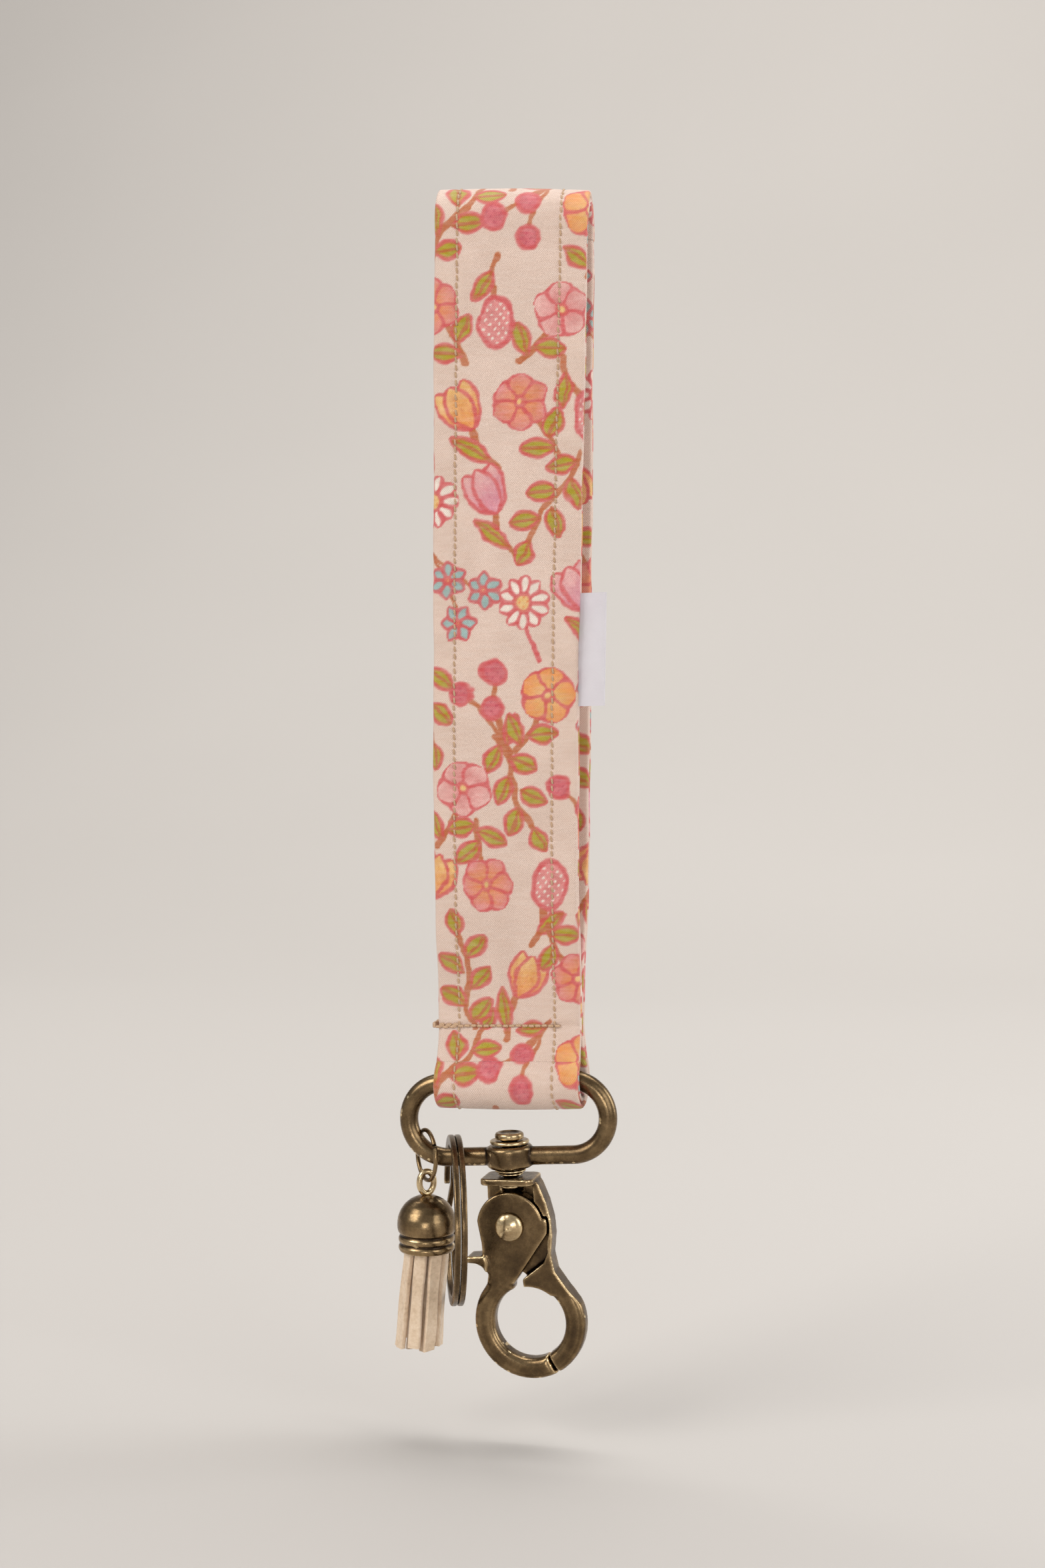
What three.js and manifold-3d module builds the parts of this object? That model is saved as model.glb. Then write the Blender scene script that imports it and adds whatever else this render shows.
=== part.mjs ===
// Wristlet keychain: a printed cotton wrist strap that ends in a swivel trigger clasp,
// with a split ring and a small suede tassel on the clasp's oval frame.
// Millimetres. X runs to the right along the frame's bars, -Y is the front, +Z is up.
// The origin is at the inside top of the wrist loop, where the loop hangs.

import * as THREE from 'three';
import { mergeVertices } from 'three/addons/utils/BufferGeometryUtils.js';
import Module from 'manifold-3d';

const wasm = await Module();
wasm.setup();

// ---------------------------------------------------------------- driving dimensions

const GAP = 0.3;                  // clearance between neighbouring pieces

const strap = {
  width: 27.5,
  thickness: 2.3,
  clothWall: 0.5,
  leftFold: 0.8,                  // solid cloth at the folded left edge
  innerTopRadius: 5.2,            // radius of the wrist loop's inside, over what holds it
  legBulge: 6.7,                  // largest distance of a leg's middle from the centre plane
  seamZ: -147.8,
  smallLoopRadius: 3.0,           // inside radius of the small loop round the frame's bar
  smallLoopZ: -158.0,
  topTwist: 8,                    // degrees that the top of the loop is turned about Z
  twistEndZ: -140,
  topSlope: -1.5,                 // degrees that the top slopes down to the right
  topSlopeEndZ: -60,
  lowerSlope: 2.2,                // degrees that the lower end slopes up to the right
  lowerSlopeFromZ: -90,
  lowerSlopeFullZ: -150,
  lean: -0.8,                     // how far to the right the lower end hangs
};
strap.half = strap.width / 2;
strap.middleTop = strap.innerTopRadius + strap.thickness / 2;
strap.middleSmall = strap.smallLoopRadius + strap.thickness / 2;

const thread = { size: 0.5, leftInset: 4.2, rightInset: 4.8 };
const crossRow = { left: -14.3, right: 11.4, height: 0.9 };
const label = { top: -70, bottom: -90, out: 4.4, hidden: 3.2, thickness: 0.45, y: -6.46, slant: 2 };

const frame = { halfStraight: 11.9, endRadius: 6.9, tube: 1.7, offsetX: -2.0, rollDegrees: 4 };
frame.upperBarZ = -158.35;
frame.drop = 2 * frame.endRadius;

// Everything below is measured from the swivel axis and the lower bar's middle line.
const hookRollDegrees = 2;
const barrel = { radius: 4.3, halfHeight: 2.1, chamfer: 0.45, bore: 1.7 };
const plate = { width: 10, depth: 8, top: -3.6, thickness: 1.2, corner: 1.4, hole: 1.5, tailRoom: 2.5 };
const pivotZ = -12.6;
const clasp = { front: -2.1, back: 2.1, shell: 0.9, headRadius: 6.3, lobeRadius: 7.05 };
const claw = { x: 3.0, z: -17.65, inner: 6.65, outer: 10.4, splitDegrees: -59, round: 1.1 };
const rivet = { shaft: 1.2, hole: 1.5, head: 2.6, tail: 2.0, recess: 2.3, sunk: 0.6 };
const pocket = { radius: 3.3, depth: 1.8 };
const spring = { radius: 2.3, wire: 0.22, turns: 2, pitch: 0.5 };

const splitRing = { x: -10.4, radius: 15.5, width: 1.8, coil: 1.05, between: 0.15, yaw: 20 };
const jumpRing = { x: -15.9, radius: 5.0, wire: 0.4, yaw: 38, lift: 0.95, cutDegrees: 6 };
const tassel = {
  x: -15.9, beadRadius: 5.2, domeRadius: 5.45, domeTop: 10.3, mouth: 4.6,
  eyeRadius: 1.4, eyeWire: 0.58, eyeStretch: 1.45, eyeAbove: 2.3, stripWidth: 2.2, stripThickness: 1.1, outerCount: 8, innerCount: 3,
  outerAt: 3.5, innerAt: 1.5, tuckedIn: 2.0, length: 18.4, lean: -1.5, splay: 0.6,
};

// ---------------------------------------------------------------- solids and meshes

const rad = THREE.MathUtils.degToRad;
const roll = rad(frame.rollDegrees);

function solid(geometry) {
  const bare = geometry.clone();
  bare.deleteAttribute('normal');
  bare.deleteAttribute('uv');
  const merged = mergeVertices(bare, 1e-4);
  return new wasm.Manifold(new wasm.Mesh({
    numProp: 3,
    vertProperties: new Float32Array(merged.attributes.position.array),
    triVerts: new Uint32Array(merged.index.array),
  }));
}

function geometryOf(manifold) {
  const mesh = manifold.getMesh();
  const geometry = new THREE.BufferGeometry();
  geometry.setAttribute('position', new THREE.BufferAttribute(mesh.vertProperties, 3));
  geometry.setIndex(new THREE.BufferAttribute(mesh.triVerts, 1));
  return geometry;
}

// A flat outline in X and Z, made solid from y = front to y = back, with cut corners.
function slab(shape, front, back, round = 0) {
  const geometry = new THREE.ExtrudeGeometry(shape, {
    depth: back - front - 2 * round,
    bevelEnabled: round > 0,
    bevelThickness: round,
    bevelSize: round,
    bevelOffset: -round,
    bevelSegments: 2,
    curveSegments: 12,
  });
  return geometry.rotateX(Math.PI / 2).translate(0, back - round, 0);
}

function outline(points) {
  return new THREE.Shape(points.map(([x, z]) => new THREE.Vector2(x, z)));
}

// A turned solid about Z, from [radius, z] points that start and end on the axis.
function turned(profile, segments = 28) {
  const points = profile.map(([r, z]) => new THREE.Vector2(r, z));
  return new THREE.LatheGeometry(points, segments).rotateX(Math.PI / 2);
}

function cylinder(radius, low, high, segments = 28) {
  return turned([[0, low], [radius, low], [radius, high], [0, high]], segments);
}

// Turns a solid made about Z so that its axis runs from front to back through (x, z).
function acrossAt(geometry, x, z) {
  return geometry.rotateX(-Math.PI / 2).translate(x, 0, z);
}

function arcPoints(x, z, radius, from, to, steps) {
  const points = [];
  for (let i = 0; i <= steps; i += 1) {
    const angle = rad(from + (to - from) * i / steps);
    points.push([x + radius * Math.cos(angle), z + radius * Math.sin(angle)]);
  }
  return points;
}

// A closed body through a row of equal sections, with flat ends.
function loft(sections) {
  const count = sections[0].length;
  const position = sections.flat().flatMap((p) => [p.x, p.y, p.z]);
  const index = [];
  for (let s = 0; s + 1 < sections.length; s += 1) {
    for (let i = 0; i < count; i += 1) {
      const a = s * count + i;
      const b = s * count + (i + 1) % count;
      index.push(a, b, b + count, a, b + count, a + count);
    }
  }
  const last = (sections.length - 1) * count;
  for (let i = 1; i + 1 < count; i += 1) {
    index.push(0, i + 1, i, last, last + i, last + i + 1);
  }
  const geometry = new THREE.BufferGeometry();
  geometry.setAttribute('position', new THREE.Float32BufferAttribute(position, 3));
  geometry.setIndex(index);
  return geometry;
}

const finishes = {
  print: { color: 0xe9cdbf, roughness: 0.9, metalness: 0 },
  core: { color: 0xf2efe8, roughness: 0.95, metalness: 0 },
  thread: { color: 0xa58a72, roughness: 0.8, metalness: 0 },
  label: { color: 0xf3f0f2, roughness: 0.8, metalness: 0 },
  brass: { color: 0x6e5a3c, roughness: 0.42, metalness: 1 },
  spring: { color: 0x9a9a98, roughness: 0.3, metalness: 1 },
  suede: { color: 0xc9ab8b, roughness: 0.95, metalness: 0 },
};

function piece(name, geometry, finish) {
  const mesh = new THREE.Mesh(geometry, new THREE.MeshStandardMaterial(finishes[finish]));
  mesh.name = name;
  return mesh;
}

// ---------------------------------------------------------------- strap

// The middle line of the doubled strap, seen from the side, as points [y, z] round the loop.
function strapMiddleLine() {
  const s = strap;
  const pinch = s.thickness / 2 + GAP / 2;
  const top = [];
  for (const [y, z] of arcPoints(0, -s.innerTopRadius, s.middleTop, 0, 180, 14)) top.push([y, z]);
  const small = arcPoints(0, s.smallLoopZ, s.middleSmall, 130, 410, 14);
  const leg = (side) => [
    [side * s.legBulge, -30],
    [side * s.legBulge, -62],
    [side * (s.legBulge - 0.6), -95],
    [side * (s.legBulge - 2.6), -125],
    [side * (pinch + 0.5), s.seamZ + 9],
    [side * pinch, s.seamZ + 1.5],
    [side * pinch, s.seamZ - 1.5],
  ];
  const down = new THREE.SplineCurve(
    [top.at(-1), ...leg(-1), small[0]].map(([y, z]) => new THREE.Vector2(y, z)));
  const legPoints = down.getPoints(30).map((p) => [p.x, p.y]);
  const up = legPoints.map(([y, z]) => [-y, z]).reverse();
  return [...top.slice(0, -1), ...legPoints.slice(0, -1), ...small.slice(0, -1), ...up.slice(0, -1)];
}

const middleLine = strapMiddleLine();

function offsetLine(distance) {
  const count = middleLine.length;
  return middleLine.map(([y, z], i) => {
    const [y0, z0] = middleLine[(i + count - 1) % count];
    const [y1, z1] = middleLine[(i + 1) % count];
    const length = Math.hypot(y1 - y0, z1 - z0);
    return new THREE.Vector2(y + distance * (z1 - z0) / length, z - distance * (y1 - y0) / length);
  });
}

// A band round the whole loop between two offsets from its middle line.
function band(inside, outside, left, right) {
  const shape = new THREE.Shape(offsetLine(outside));
  shape.holes.push(new THREE.Path(offsetLine(inside)));
  const geometry = new THREE.ExtrudeGeometry(shape, { depth: right - left, bevelEnabled: false });
  // the outline's first axis becomes Y, its second Z, and the depth runs along X
  const turn = new THREE.Matrix4().set(0, 0, 1, left, 1, 0, 0, 0, 0, 1, 0, 0, 0, 0, 0, 1);
  return geometry.applyMatrix4(turn);
}

// The strap hangs a little turned, sloped and leaning from its top to its lower end.
function hung(geometry) {
  const position = geometry.attributes.position;
  const { clamp } = THREE.MathUtils;
  const topSlope = Math.tan(rad(strap.topSlope));
  const lowerSlope = Math.tan(rad(strap.lowerSlope));
  for (let i = 0; i < position.count; i += 1) {
    const [x, y, z] = [position.getX(i), position.getY(i), position.getZ(i)];
    const turn = rad(strap.topTwist) * clamp(1 - z / strap.twistEndZ, 0, 1);
    const nearTop = clamp(1 - z / strap.topSlopeEndZ, 0, 1);
    const nearEnd = clamp((z - strap.lowerSlopeFromZ) / (strap.lowerSlopeFullZ - strap.lowerSlopeFromZ), 0, 1);
    const turnedX = x * Math.cos(turn) - y * Math.sin(turn);
    position.setX(i, turnedX + strap.lean * clamp(z / strap.lowerSlopeFullZ, 0, 1));
    position.setY(i, x * Math.sin(turn) + y * Math.cos(turn));
    position.setZ(i, z + x * (topSlope * nearTop + lowerSlope * nearEnd));
  }
  return geometry;
}

function labelBox(grow, insideReach) {
  const height = label.top - label.bottom + 2 * grow;
  const left = strap.half - insideReach;
  const width = strap.half + label.out - left;
  const thickness = label.thickness + 2 * grow;
  return new THREE.BoxGeometry(width, thickness, height, 1, 1, 6)
    .rotateY(-rad(label.slant))
    .translate(left + width / 2, label.y, (label.top + label.bottom) / 2);
}

function strapPieces() {
  const half = strap.thickness / 2;
  const slot = half - strap.clothWall;
  const left = -strap.half;
  const cloth = solid(band(-half, half, left, strap.half))
    .subtract(solid(band(-slot, slot, left + strap.leftFold, strap.half + 1)));
  const core = solid(band(-slot + GAP, slot - GAP, left + strap.leftFold + GAP, strap.half - 0.4))
    .subtract(solid(labelBox(GAP, label.hidden + GAP)));
  const row = (x) => band(half + GAP, half + GAP + thread.size, x - thread.size / 2, x + thread.size / 2);
  return [
    piece('strap_fabric', hung(geometryOf(cloth)), 'print'),
    piece('strap_interfacing', hung(geometryOf(core)), 'core'),
    piece('topstitch_left', hung(row(left + thread.leftInset)), 'thread'),
    piece('topstitch_right', hung(row(strap.half - thread.rightInset)), 'thread'),
    piece('cross_stitch', hung(geometryOf(crossStitch())), 'thread'),
    piece('side_label', hung(labelBox(0, label.hidden)), 'label'),
  ];
}

// One bar of thread on the front and one on the back, joined by the back-tack at the left edge.
function crossStitch() {
  const faceY = strap.thickness + GAP / 2 + GAP;
  const clearOfRows = thread.size + GAP;
  const outer = faceY + clearOfRows + thread.size;
  const low = strap.seamZ - crossRow.height / 2;
  const block = (x0, x1, y, z0, z1) => solid(new THREE.BoxGeometry(x1 - x0, 2 * y, z1 - z0)
    .translate((x0 + x1) / 2, 0, (z0 + z1) / 2));
  return block(crossRow.left - thread.size, crossRow.right, outer, low, low + crossRow.height)
    .subtract(block(crossRow.left, crossRow.right + 1, faceY + clearOfRows, low - 1, low + crossRow.height + 1));
}

// ---------------------------------------------------------------- frame and swivel

function ovalFrame() {
  const path = new THREE.CurvePath();
  const { halfStraight: a, endRadius: r } = frame;
  const line = (x0, z0, x1, z1) => new THREE.LineCurve3(
    new THREE.Vector3(x0, 0, z0), new THREE.Vector3(x1, 0, z1));
  class End extends THREE.Curve {
    constructor(x, from) {
      super();
      this.x = x;
      this.from = from;
    }

    getPoint(t) {
      const angle = this.from + Math.PI * t;
      return new THREE.Vector3(this.x + r * Math.cos(angle), 0, r + r * Math.sin(angle));
    }
  }
  path.add(line(-a, 0, a, 0));
  path.add(new End(a, -Math.PI / 2));
  path.add(line(a, 2 * r, -a, 2 * r));
  path.add(new End(-a, Math.PI / 2));
  const ring = solid(new THREE.TubeGeometry(path, 56, frame.tube, 12, true));
  const { radius, halfHeight: h, chamfer: c } = barrel;
  const hub = solid(turned([
    [0, -h], [radius - c, -h], [radius, -h + c], [radius, h - c], [radius - c, h], [0, h],
  ]));
  return ring.add(hub).subtract(solid(cylinder(barrel.bore, -h - 1, h + 1)));
}

function swivelPieces() {
  const post = turned([
    [0, -5.8], [1.9, -5.8], [2.2, -5.5], [2.2, -5.1], [1.2, -5.1], [1.2, -3.35], [2.3, -3.35],
    [2.3, -2.95], [1.4, -2.95], [1.4, 3.2], [2.65, 3.2], [2.65, 4.1], [2.35, 4.4], [1.9, 4.4],
    [1.7, 4.25], [0, 4.25],
  ]);
  const washer = (outer, inner, low, high) => solid(cylinder(outer, low, high))
    .subtract(solid(cylinder(inner, low - 1, high + 1)));
  return [
    piece('swivel_post', post, 'brass'),
    piece('swivel_washer_top', geometryOf(washer(3.65, 1.7, 2.35, 3.0)), 'brass'),
    piece('swivel_washer_bottom', geometryOf(washer(2.9, 1.7, -2.75, -2.3)), 'brass'),
  ];
}

// ---------------------------------------------------------------- trigger clasp

// Outlines are points [x, z] from the pivot.
const clawArc = (radius, from, to, steps) => arcPoints(claw.x, claw.z, radius, from, to, steps);

function hookBody() {
  const underPlate = plate.top - pivotZ - 0.4;
  const wall = outline([
    [4.4, underPlate], [5.0, underPlate], [5.6, 7.9], [6.9, 4.6], [7.7, 1.4], [7.9, -1.5],
    [7.5, -5.0], [8.1, -8.0], [10.2, -11.0],
    ...clawArc(claw.outer, 20, claw.splitDegrees, 12),
    ...clawArc(claw.inner, claw.splitDegrees, 97, 18),
    [2.05, -9.65], [6.1, -6.5], [6.9, -4.6],
    ...arcPoints(0, 0, clasp.lobeRadius + GAP, -20, 17, 5),
    ...arcPoints(0, 0, clasp.headRadius + GAP, 17, 45, 4),
  ]);
  const shell = outline([
    [-5.0, underPlate], [-4.9, 4.5], [-4.4, 0], [-4.0, -3.0], [-2.5, -6.0], [0.6, -8.7],
    [2.05, -9.65], [6.5, -6.6], [7.5, -4.5], [7.6, 0], [6.7, 4.6], [5.0, underPlate],
  ]);
  const top = new THREE.Shape();
  const { width: w, depth: d, corner: c } = plate;
  top.moveTo(-w / 2 + c, -d / 2).lineTo(w / 2 - c, -d / 2);
  top.absarc(w / 2 - c, -d / 2 + c, c, -Math.PI / 2, 0).absarc(w / 2 - c, d / 2 - c, c, 0, Math.PI / 2);
  top.absarc(-w / 2 + c, d / 2 - c, c, Math.PI / 2, Math.PI);
  top.absarc(-w / 2 + c, -d / 2 + c, c, Math.PI, 1.5 * Math.PI);
  const saddle = new THREE.ExtrudeGeometry(top, {
    depth: plate.thickness, bevelEnabled: false, curveSegments: 6,
  }).translate(0, 0, plate.top - plate.thickness);
  const underSaddle = plate.top - plate.thickness;
  const cover = { half: 3.4, back: plate.tailRoom + clasp.shell, low: underSaddle - 2.6 };
  const tailCover = new THREE.BoxGeometry(2 * cover.half, cover.back - 1.4, underSaddle - cover.low)
    .translate(0, (cover.back + 1.4) / 2, (underSaddle + cover.low) / 2);
  const down = (geometry) => geometry.translate(0, 0, pivotZ);
  return solid(down(slab(wall, clasp.front, clasp.back, 0)))
    .add(solid(down(slab(shell, clasp.back - clasp.shell, clasp.back, 0))))
    .subtract(clawRounding())
    .add(solid(saddle))
    .add(solid(tailCover))
    .subtract(solid(cylinder(plate.hole, plate.top - 2, plate.top + 1)))
    .subtract(solid(cylinder(plate.tailRoom, underSaddle - 1.8, underSaddle)))
    .subtract(solid(acrossAt(cylinder(rivet.hole, -5, 5), 0, pivotZ)))
    .subtract(solid(acrossAt(cylinder(rivet.recess, clasp.back - rivet.sunk, 5), 0, pivotZ)));
}

// What is cut from a plain flat jaw to leave its band with rounded edges.
function clawRounding() {
  const ring = (inner, outer, front, back, round) => acrossAt(turned([
    [inner + round, front], [outer - round, front], [outer - 0.3 * round, front + 0.3 * round],
    [outer, front + round], [outer, back - round], [outer - 0.3 * round, back - 0.3 * round],
    [outer - round, back], [inner + round, back], [inner + 0.3 * round, back - 0.3 * round],
    [inner, back - round], [inner, front + round], [inner + 0.3 * round, front + 0.3 * round],
    [inner + round, front],
  ], 40), claw.x, pivotZ + claw.z);
  const jawSide = slab(outline([[2.2, -12.5], [16, -12.5], [16, -30], [2.2, -30]]), -4, 4)
    .translate(0, 0, pivotZ);
  return solid(ring(claw.inner - 2, claw.outer + 2, clasp.front - 1, clasp.back + 1, 0.1))
    .subtract(solid(ring(claw.inner, claw.outer, clasp.front, clasp.back, claw.round)))
    .intersect(solid(jawSide));
}

function trigger() {
  const splitEnd = claw.splitDegrees - 2.4 + 360;
  const head = outline([
    [0.38, -10.6],
    ...arcPoints(0, 0, clasp.lobeRadius, -10, 14, 3),
    ...arcPoints(0, 0, clasp.headRadius, 14, 172, 18),
    [-5.5, -3.3], [-5.4, -5.6], [-4.9, -7.6], [-4.4, -9.0], [-4.7, -10.6],
  ]);
  const jaw = outline([
    [0.38, -9.2], [-4.4, -9.2], [-5.0, -11.0],
    ...clawArc(claw.outer, 152, splitEnd, 18),
    ...clawArc(claw.inner, splitEnd, 114, 22),
  ]);
  const tab = outline([
    [-4.8, -5.5], [-8.4, -5.7], [-8.4, -6.8], [-6.4, -7.0], [-5.4, -7.5], [-4.7, -8.6], [-4.3, -7.0],
  ]);
  const down = (geometry) => solid(geometry.translate(0, 0, pivotZ));
  const plateBack = clasp.back - clasp.shell - GAP;
  return down(slab(head, clasp.front, plateBack, 0.3))
    .add(down(slab(jaw, clasp.front, clasp.back, claw.round)))
    .add(down(slab(tab, -2.5, 2.5, 0)))
    .subtract(solid(acrossAt(cylinder(pocket.radius, plateBack - pocket.depth, 2), 0, pivotZ)))
    .subtract(solid(acrossAt(cylinder(rivet.hole, -5, 5), 0, pivotZ)));
}

// Wire wound round the rivet inside the trigger's pocket, with a short leg at each end.
function triggerSpring() {
  const { radius, turns, pitch, wire } = spring;
  const points = [];
  const steps = turns * 14;
  const middle = clasp.back - clasp.shell - GAP - pocket.depth / 2;
  for (let i = 0; i <= steps; i += 1) {
    const angle = 2 * Math.PI * turns * i / steps;
    const y = middle + pitch * (i / 14 - turns / 2);
    points.push(new THREE.Vector3(radius * Math.cos(angle), y, pivotZ + radius * Math.sin(angle)));
  }
  points.unshift(points[0].clone().add(new THREE.Vector3(0.5, 0, -0.9)));
  points.push(points.at(-1).clone().add(new THREE.Vector3(0.5, 0, 0.9)));
  const section = new THREE.Shape(arcPoints(0, 0, wire, 0, 315, 7).map(([x, z]) => new THREE.Vector2(x, z)));
  return new THREE.ExtrudeGeometry(section, {
    steps: 44, bevelEnabled: false, extrudePath: new THREE.CatmullRomCurve3(points),
  });
}

function pivotRivet() {
  const front = clasp.front - GAP;
  const tailFront = clasp.back - rivet.sunk + GAP;
  const tailBack = clasp.back - 0.05;
  return acrossAt(turned([
    [0, front - 1.2], [1.1, front - 1.1], [2.1, front - 0.8], [rivet.head, front - 0.35],
    [rivet.head, front], [rivet.shaft, front], [rivet.shaft, tailFront], [rivet.tail, tailFront],
    [rivet.tail, tailBack], [0, tailBack],
  ], 24), 0, pivotZ);
}

// ---------------------------------------------------------------- rings

// Two flat coils of one wire, which steps from the first layer to the second.
function splitRingBody() {
  const { radius, width, coil, between, yaw, x } = splitRing;
  const inner = radius - width;
  const barZ = x * Math.sin(roll);
  const centreZ = barZ + frame.tube / Math.cos(roll) + GAP - inner;
  const layer = (coil + between) / 2;
  const stepFrom = 346;
  const stepTo = 374;
  const sections = [];
  for (let degrees = 16; degrees <= 704; degrees += 8) {
    const share = THREE.MathUtils.smoothstep(degrees, stepFrom, stepTo);
    const side = -layer + 2 * layer * share;
    const angle = rad(degrees + 90);
    const corner = (r, across) => new THREE.Vector3(across, r * Math.cos(angle), r * Math.sin(angle));
    const half = coil / 2;
    sections.push([
      corner(inner, side - half), corner(inner, side + half),
      corner(radius - 0.25, side + half), corner(radius, side + half - 0.25),
      corner(radius, side - half + 0.25), corner(radius - 0.25, side - half),
    ]);
  }
  return loft(sections).rotateZ(rad(yaw)).translate(x, 0, centreZ);
}

// The jump ring hangs on the frame's lower left bend, where the tube slopes down to the right.
const bend = (() => {
  const centreX = -frame.halfStraight * Math.cos(roll) - frame.endRadius * Math.sin(roll);
  const centreZ = -frame.halfStraight * Math.sin(roll) + frame.endRadius * Math.cos(roll);
  const slope = Math.asin((centreX - jumpRing.x) / frame.endRadius);
  const squareness = Math.cos(slope) * Math.cos(rad(jumpRing.yaw));
  return {
    z: centreZ - frame.endRadius * Math.cos(slope),
    halfHeight: frame.tube * Math.hypot(1, Math.sin(slope) / squareness),
  };
})();
jumpRing.innerRadius = jumpRing.radius - 2 * jumpRing.wire;
jumpRing.z = bend.z + bend.halfHeight + GAP + jumpRing.lift - jumpRing.innerRadius;

function jumpRingBody() {
  const { radius, wire, yaw, cutDegrees, x, z } = jumpRing;
  const sections = [];
  const steps = 34;
  for (let i = 0; i <= steps; i += 1) {
    const angle = rad(150 + cutDegrees / 2 + (360 - cutDegrees) * i / steps);
    const middle = radius - wire;
    sections.push(arcPoints(0, 0, wire, 0, 315, 7).map(([across, out]) => new THREE.Vector3(
      across, (middle + out) * Math.cos(angle), (middle + out) * Math.sin(angle))));
  }
  return loft(sections).rotateZ(rad(yaw)).translate(x, 0, z);
}

// ---------------------------------------------------------------- tassel

// The cap's eye hangs on the bottom of the jump ring.
tassel.capBottom = (() => {
  const wireTop = jumpRing.z - jumpRing.innerRadius;
  const holeTop = tassel.domeTop + tassel.eyeAbove
    + tassel.eyeStretch * (tassel.eyeRadius - tassel.eyeWire);
  return wireTop + GAP - holeTop;
})();

function tasselCap() {
  const { beadRadius: b, domeRadius: d, domeTop, mouth, capBottom } = tassel;
  const shell = turned([
    [0, 0], [b - 0.35, 0], [b, 0.4], [b, 1.1], [b - 0.35, 1.5], [b, 1.9], [b, 2.7],
    [b - 0.4, 3.1], [b, 3.5], [d, 4.6], [d, 5.6], [0.93 * d, 7.3], [0.78 * d, 8.6], [0.55 * d, 9.6],
    [0.3 * d, 10.15], [0.9, domeTop], [0, domeTop],
  ]);
  const hollow = turned([[0, -1], [mouth, -1], [mouth, 5.6], [3.4, 7.6], [0, 8.6]]);
  const eye = new THREE.TorusGeometry(tassel.eyeRadius, tassel.eyeWire, 10, 24)
    .scale(1, tassel.eyeStretch, 1)
    .rotateX(Math.PI / 2)
    .rotateZ(rad(jumpRing.yaw))
    .translate(0, 0, domeTop + tassel.eyeAbove);
  return geometryOf(solid(shell).add(solid(eye)).subtract(solid(hollow))).translate(tassel.x, 0, capBottom);
}

function tasselCore() {
  const low = tassel.capBottom + tassel.tuckedIn + GAP;
  return turned([[0, low], [3.9, low], [4.1, low + 0.4], [4.1, low + 2.6], [2.6, low + 3.9], [0, low + 4.4]])
    .translate(tassel.x, 0, 0);
}

function tasselStrip(angle, at, length) {
  const outward = new THREE.Vector2(Math.cos(angle), Math.sin(angle));
  const sections = [];
  const steps = 5;
  for (let i = 0; i <= steps; i += 1) {
    const drop = (length + tassel.tuckedIn) * i / steps;
    const below = Math.max(0, drop - tassel.tuckedIn) / length;
    const spread = at + tassel.splay * below * Math.max(0, -outward.x);
    const corner = (thick, wide) => new THREE.Vector3(
      tassel.x + tassel.lean * below + (spread + thick) * outward.x - wide * outward.y,
      (spread + thick) * outward.y + wide * outward.x,
      tassel.capBottom + tassel.tuckedIn - drop,
    );
    const t = tassel.stripThickness / 2;
    const w = tassel.stripWidth / 2;
    sections.push([corner(-t, -w), corner(-t, w), corner(t, w), corner(t, -w)]);
  }
  return loft(sections);
}

function tasselStrips() {
  const strips = [];
  const addRing = (count, at, firstDegrees) => {
    for (let i = 0; i < count; i += 1) {
      const angle = rad(firstDegrees + 360 * i / count);
      const length = tassel.length - 1.1 * ((i * 3) % count) / count;
      strips.push(piece(`tassel_strip_${strips.length + 1}`, tasselStrip(angle, at, length), 'suede'));
    }
  };
  addRing(tassel.outerCount, tassel.outerAt, 44);
  addRing(tassel.innerCount, tassel.innerAt, 90);
  return strips;
}

// ---------------------------------------------------------------- assembly

const keychain = new THREE.Group();
keychain.add(...strapPieces());

// The frame hangs in the strap's small loop with its right side a little higher.
const tilted = new THREE.Group();
tilted.position.set(frame.offsetX, 0, frame.upperBarZ);
tilted.rotation.y = -roll;
keychain.add(tilted);

const lowerBar = new THREE.Group();
lowerBar.position.z = -frame.drop;
lowerBar.add(piece('oval_frame', geometryOf(ovalFrame()), 'brass'));
tilted.add(lowerBar);

// The hook takes up the swivel's play and hangs straighter than the frame.
const hook = new THREE.Group();
hook.rotation.y = roll - rad(hookRollDegrees);
hook.add(
  ...swivelPieces(),
  piece('hook_body', geometryOf(hookBody()), 'brass'),
  piece('trigger', geometryOf(trigger()), 'brass'),
  piece('trigger_spring', triggerSpring(), 'spring'),
  piece('pivot_rivet', pivotRivet(), 'brass'),
);
lowerBar.add(hook);

// The rings and the tassel hang upright from the lower bar.
const upright = new THREE.Group();
upright.rotation.y = roll;
upright.add(
  piece('split_ring', splitRingBody(), 'brass'),
  piece('jump_ring', jumpRingBody(), 'brass'),
  piece('tassel_cap', tasselCap(), 'brass'),
  piece('tassel_core', tasselCore(), 'suede'),
  ...tasselStrips(),
);
lowerBar.add(upright);

export default keychain;
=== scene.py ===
"""Looks of the wristlet keychain: printed cotton strap, antique brass clasp, rings and suede tassel."""

from math import cos, log, pi, radians, sin, tan

import bpy
import numpy as np
from mathutils import Matrix, Vector


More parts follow.
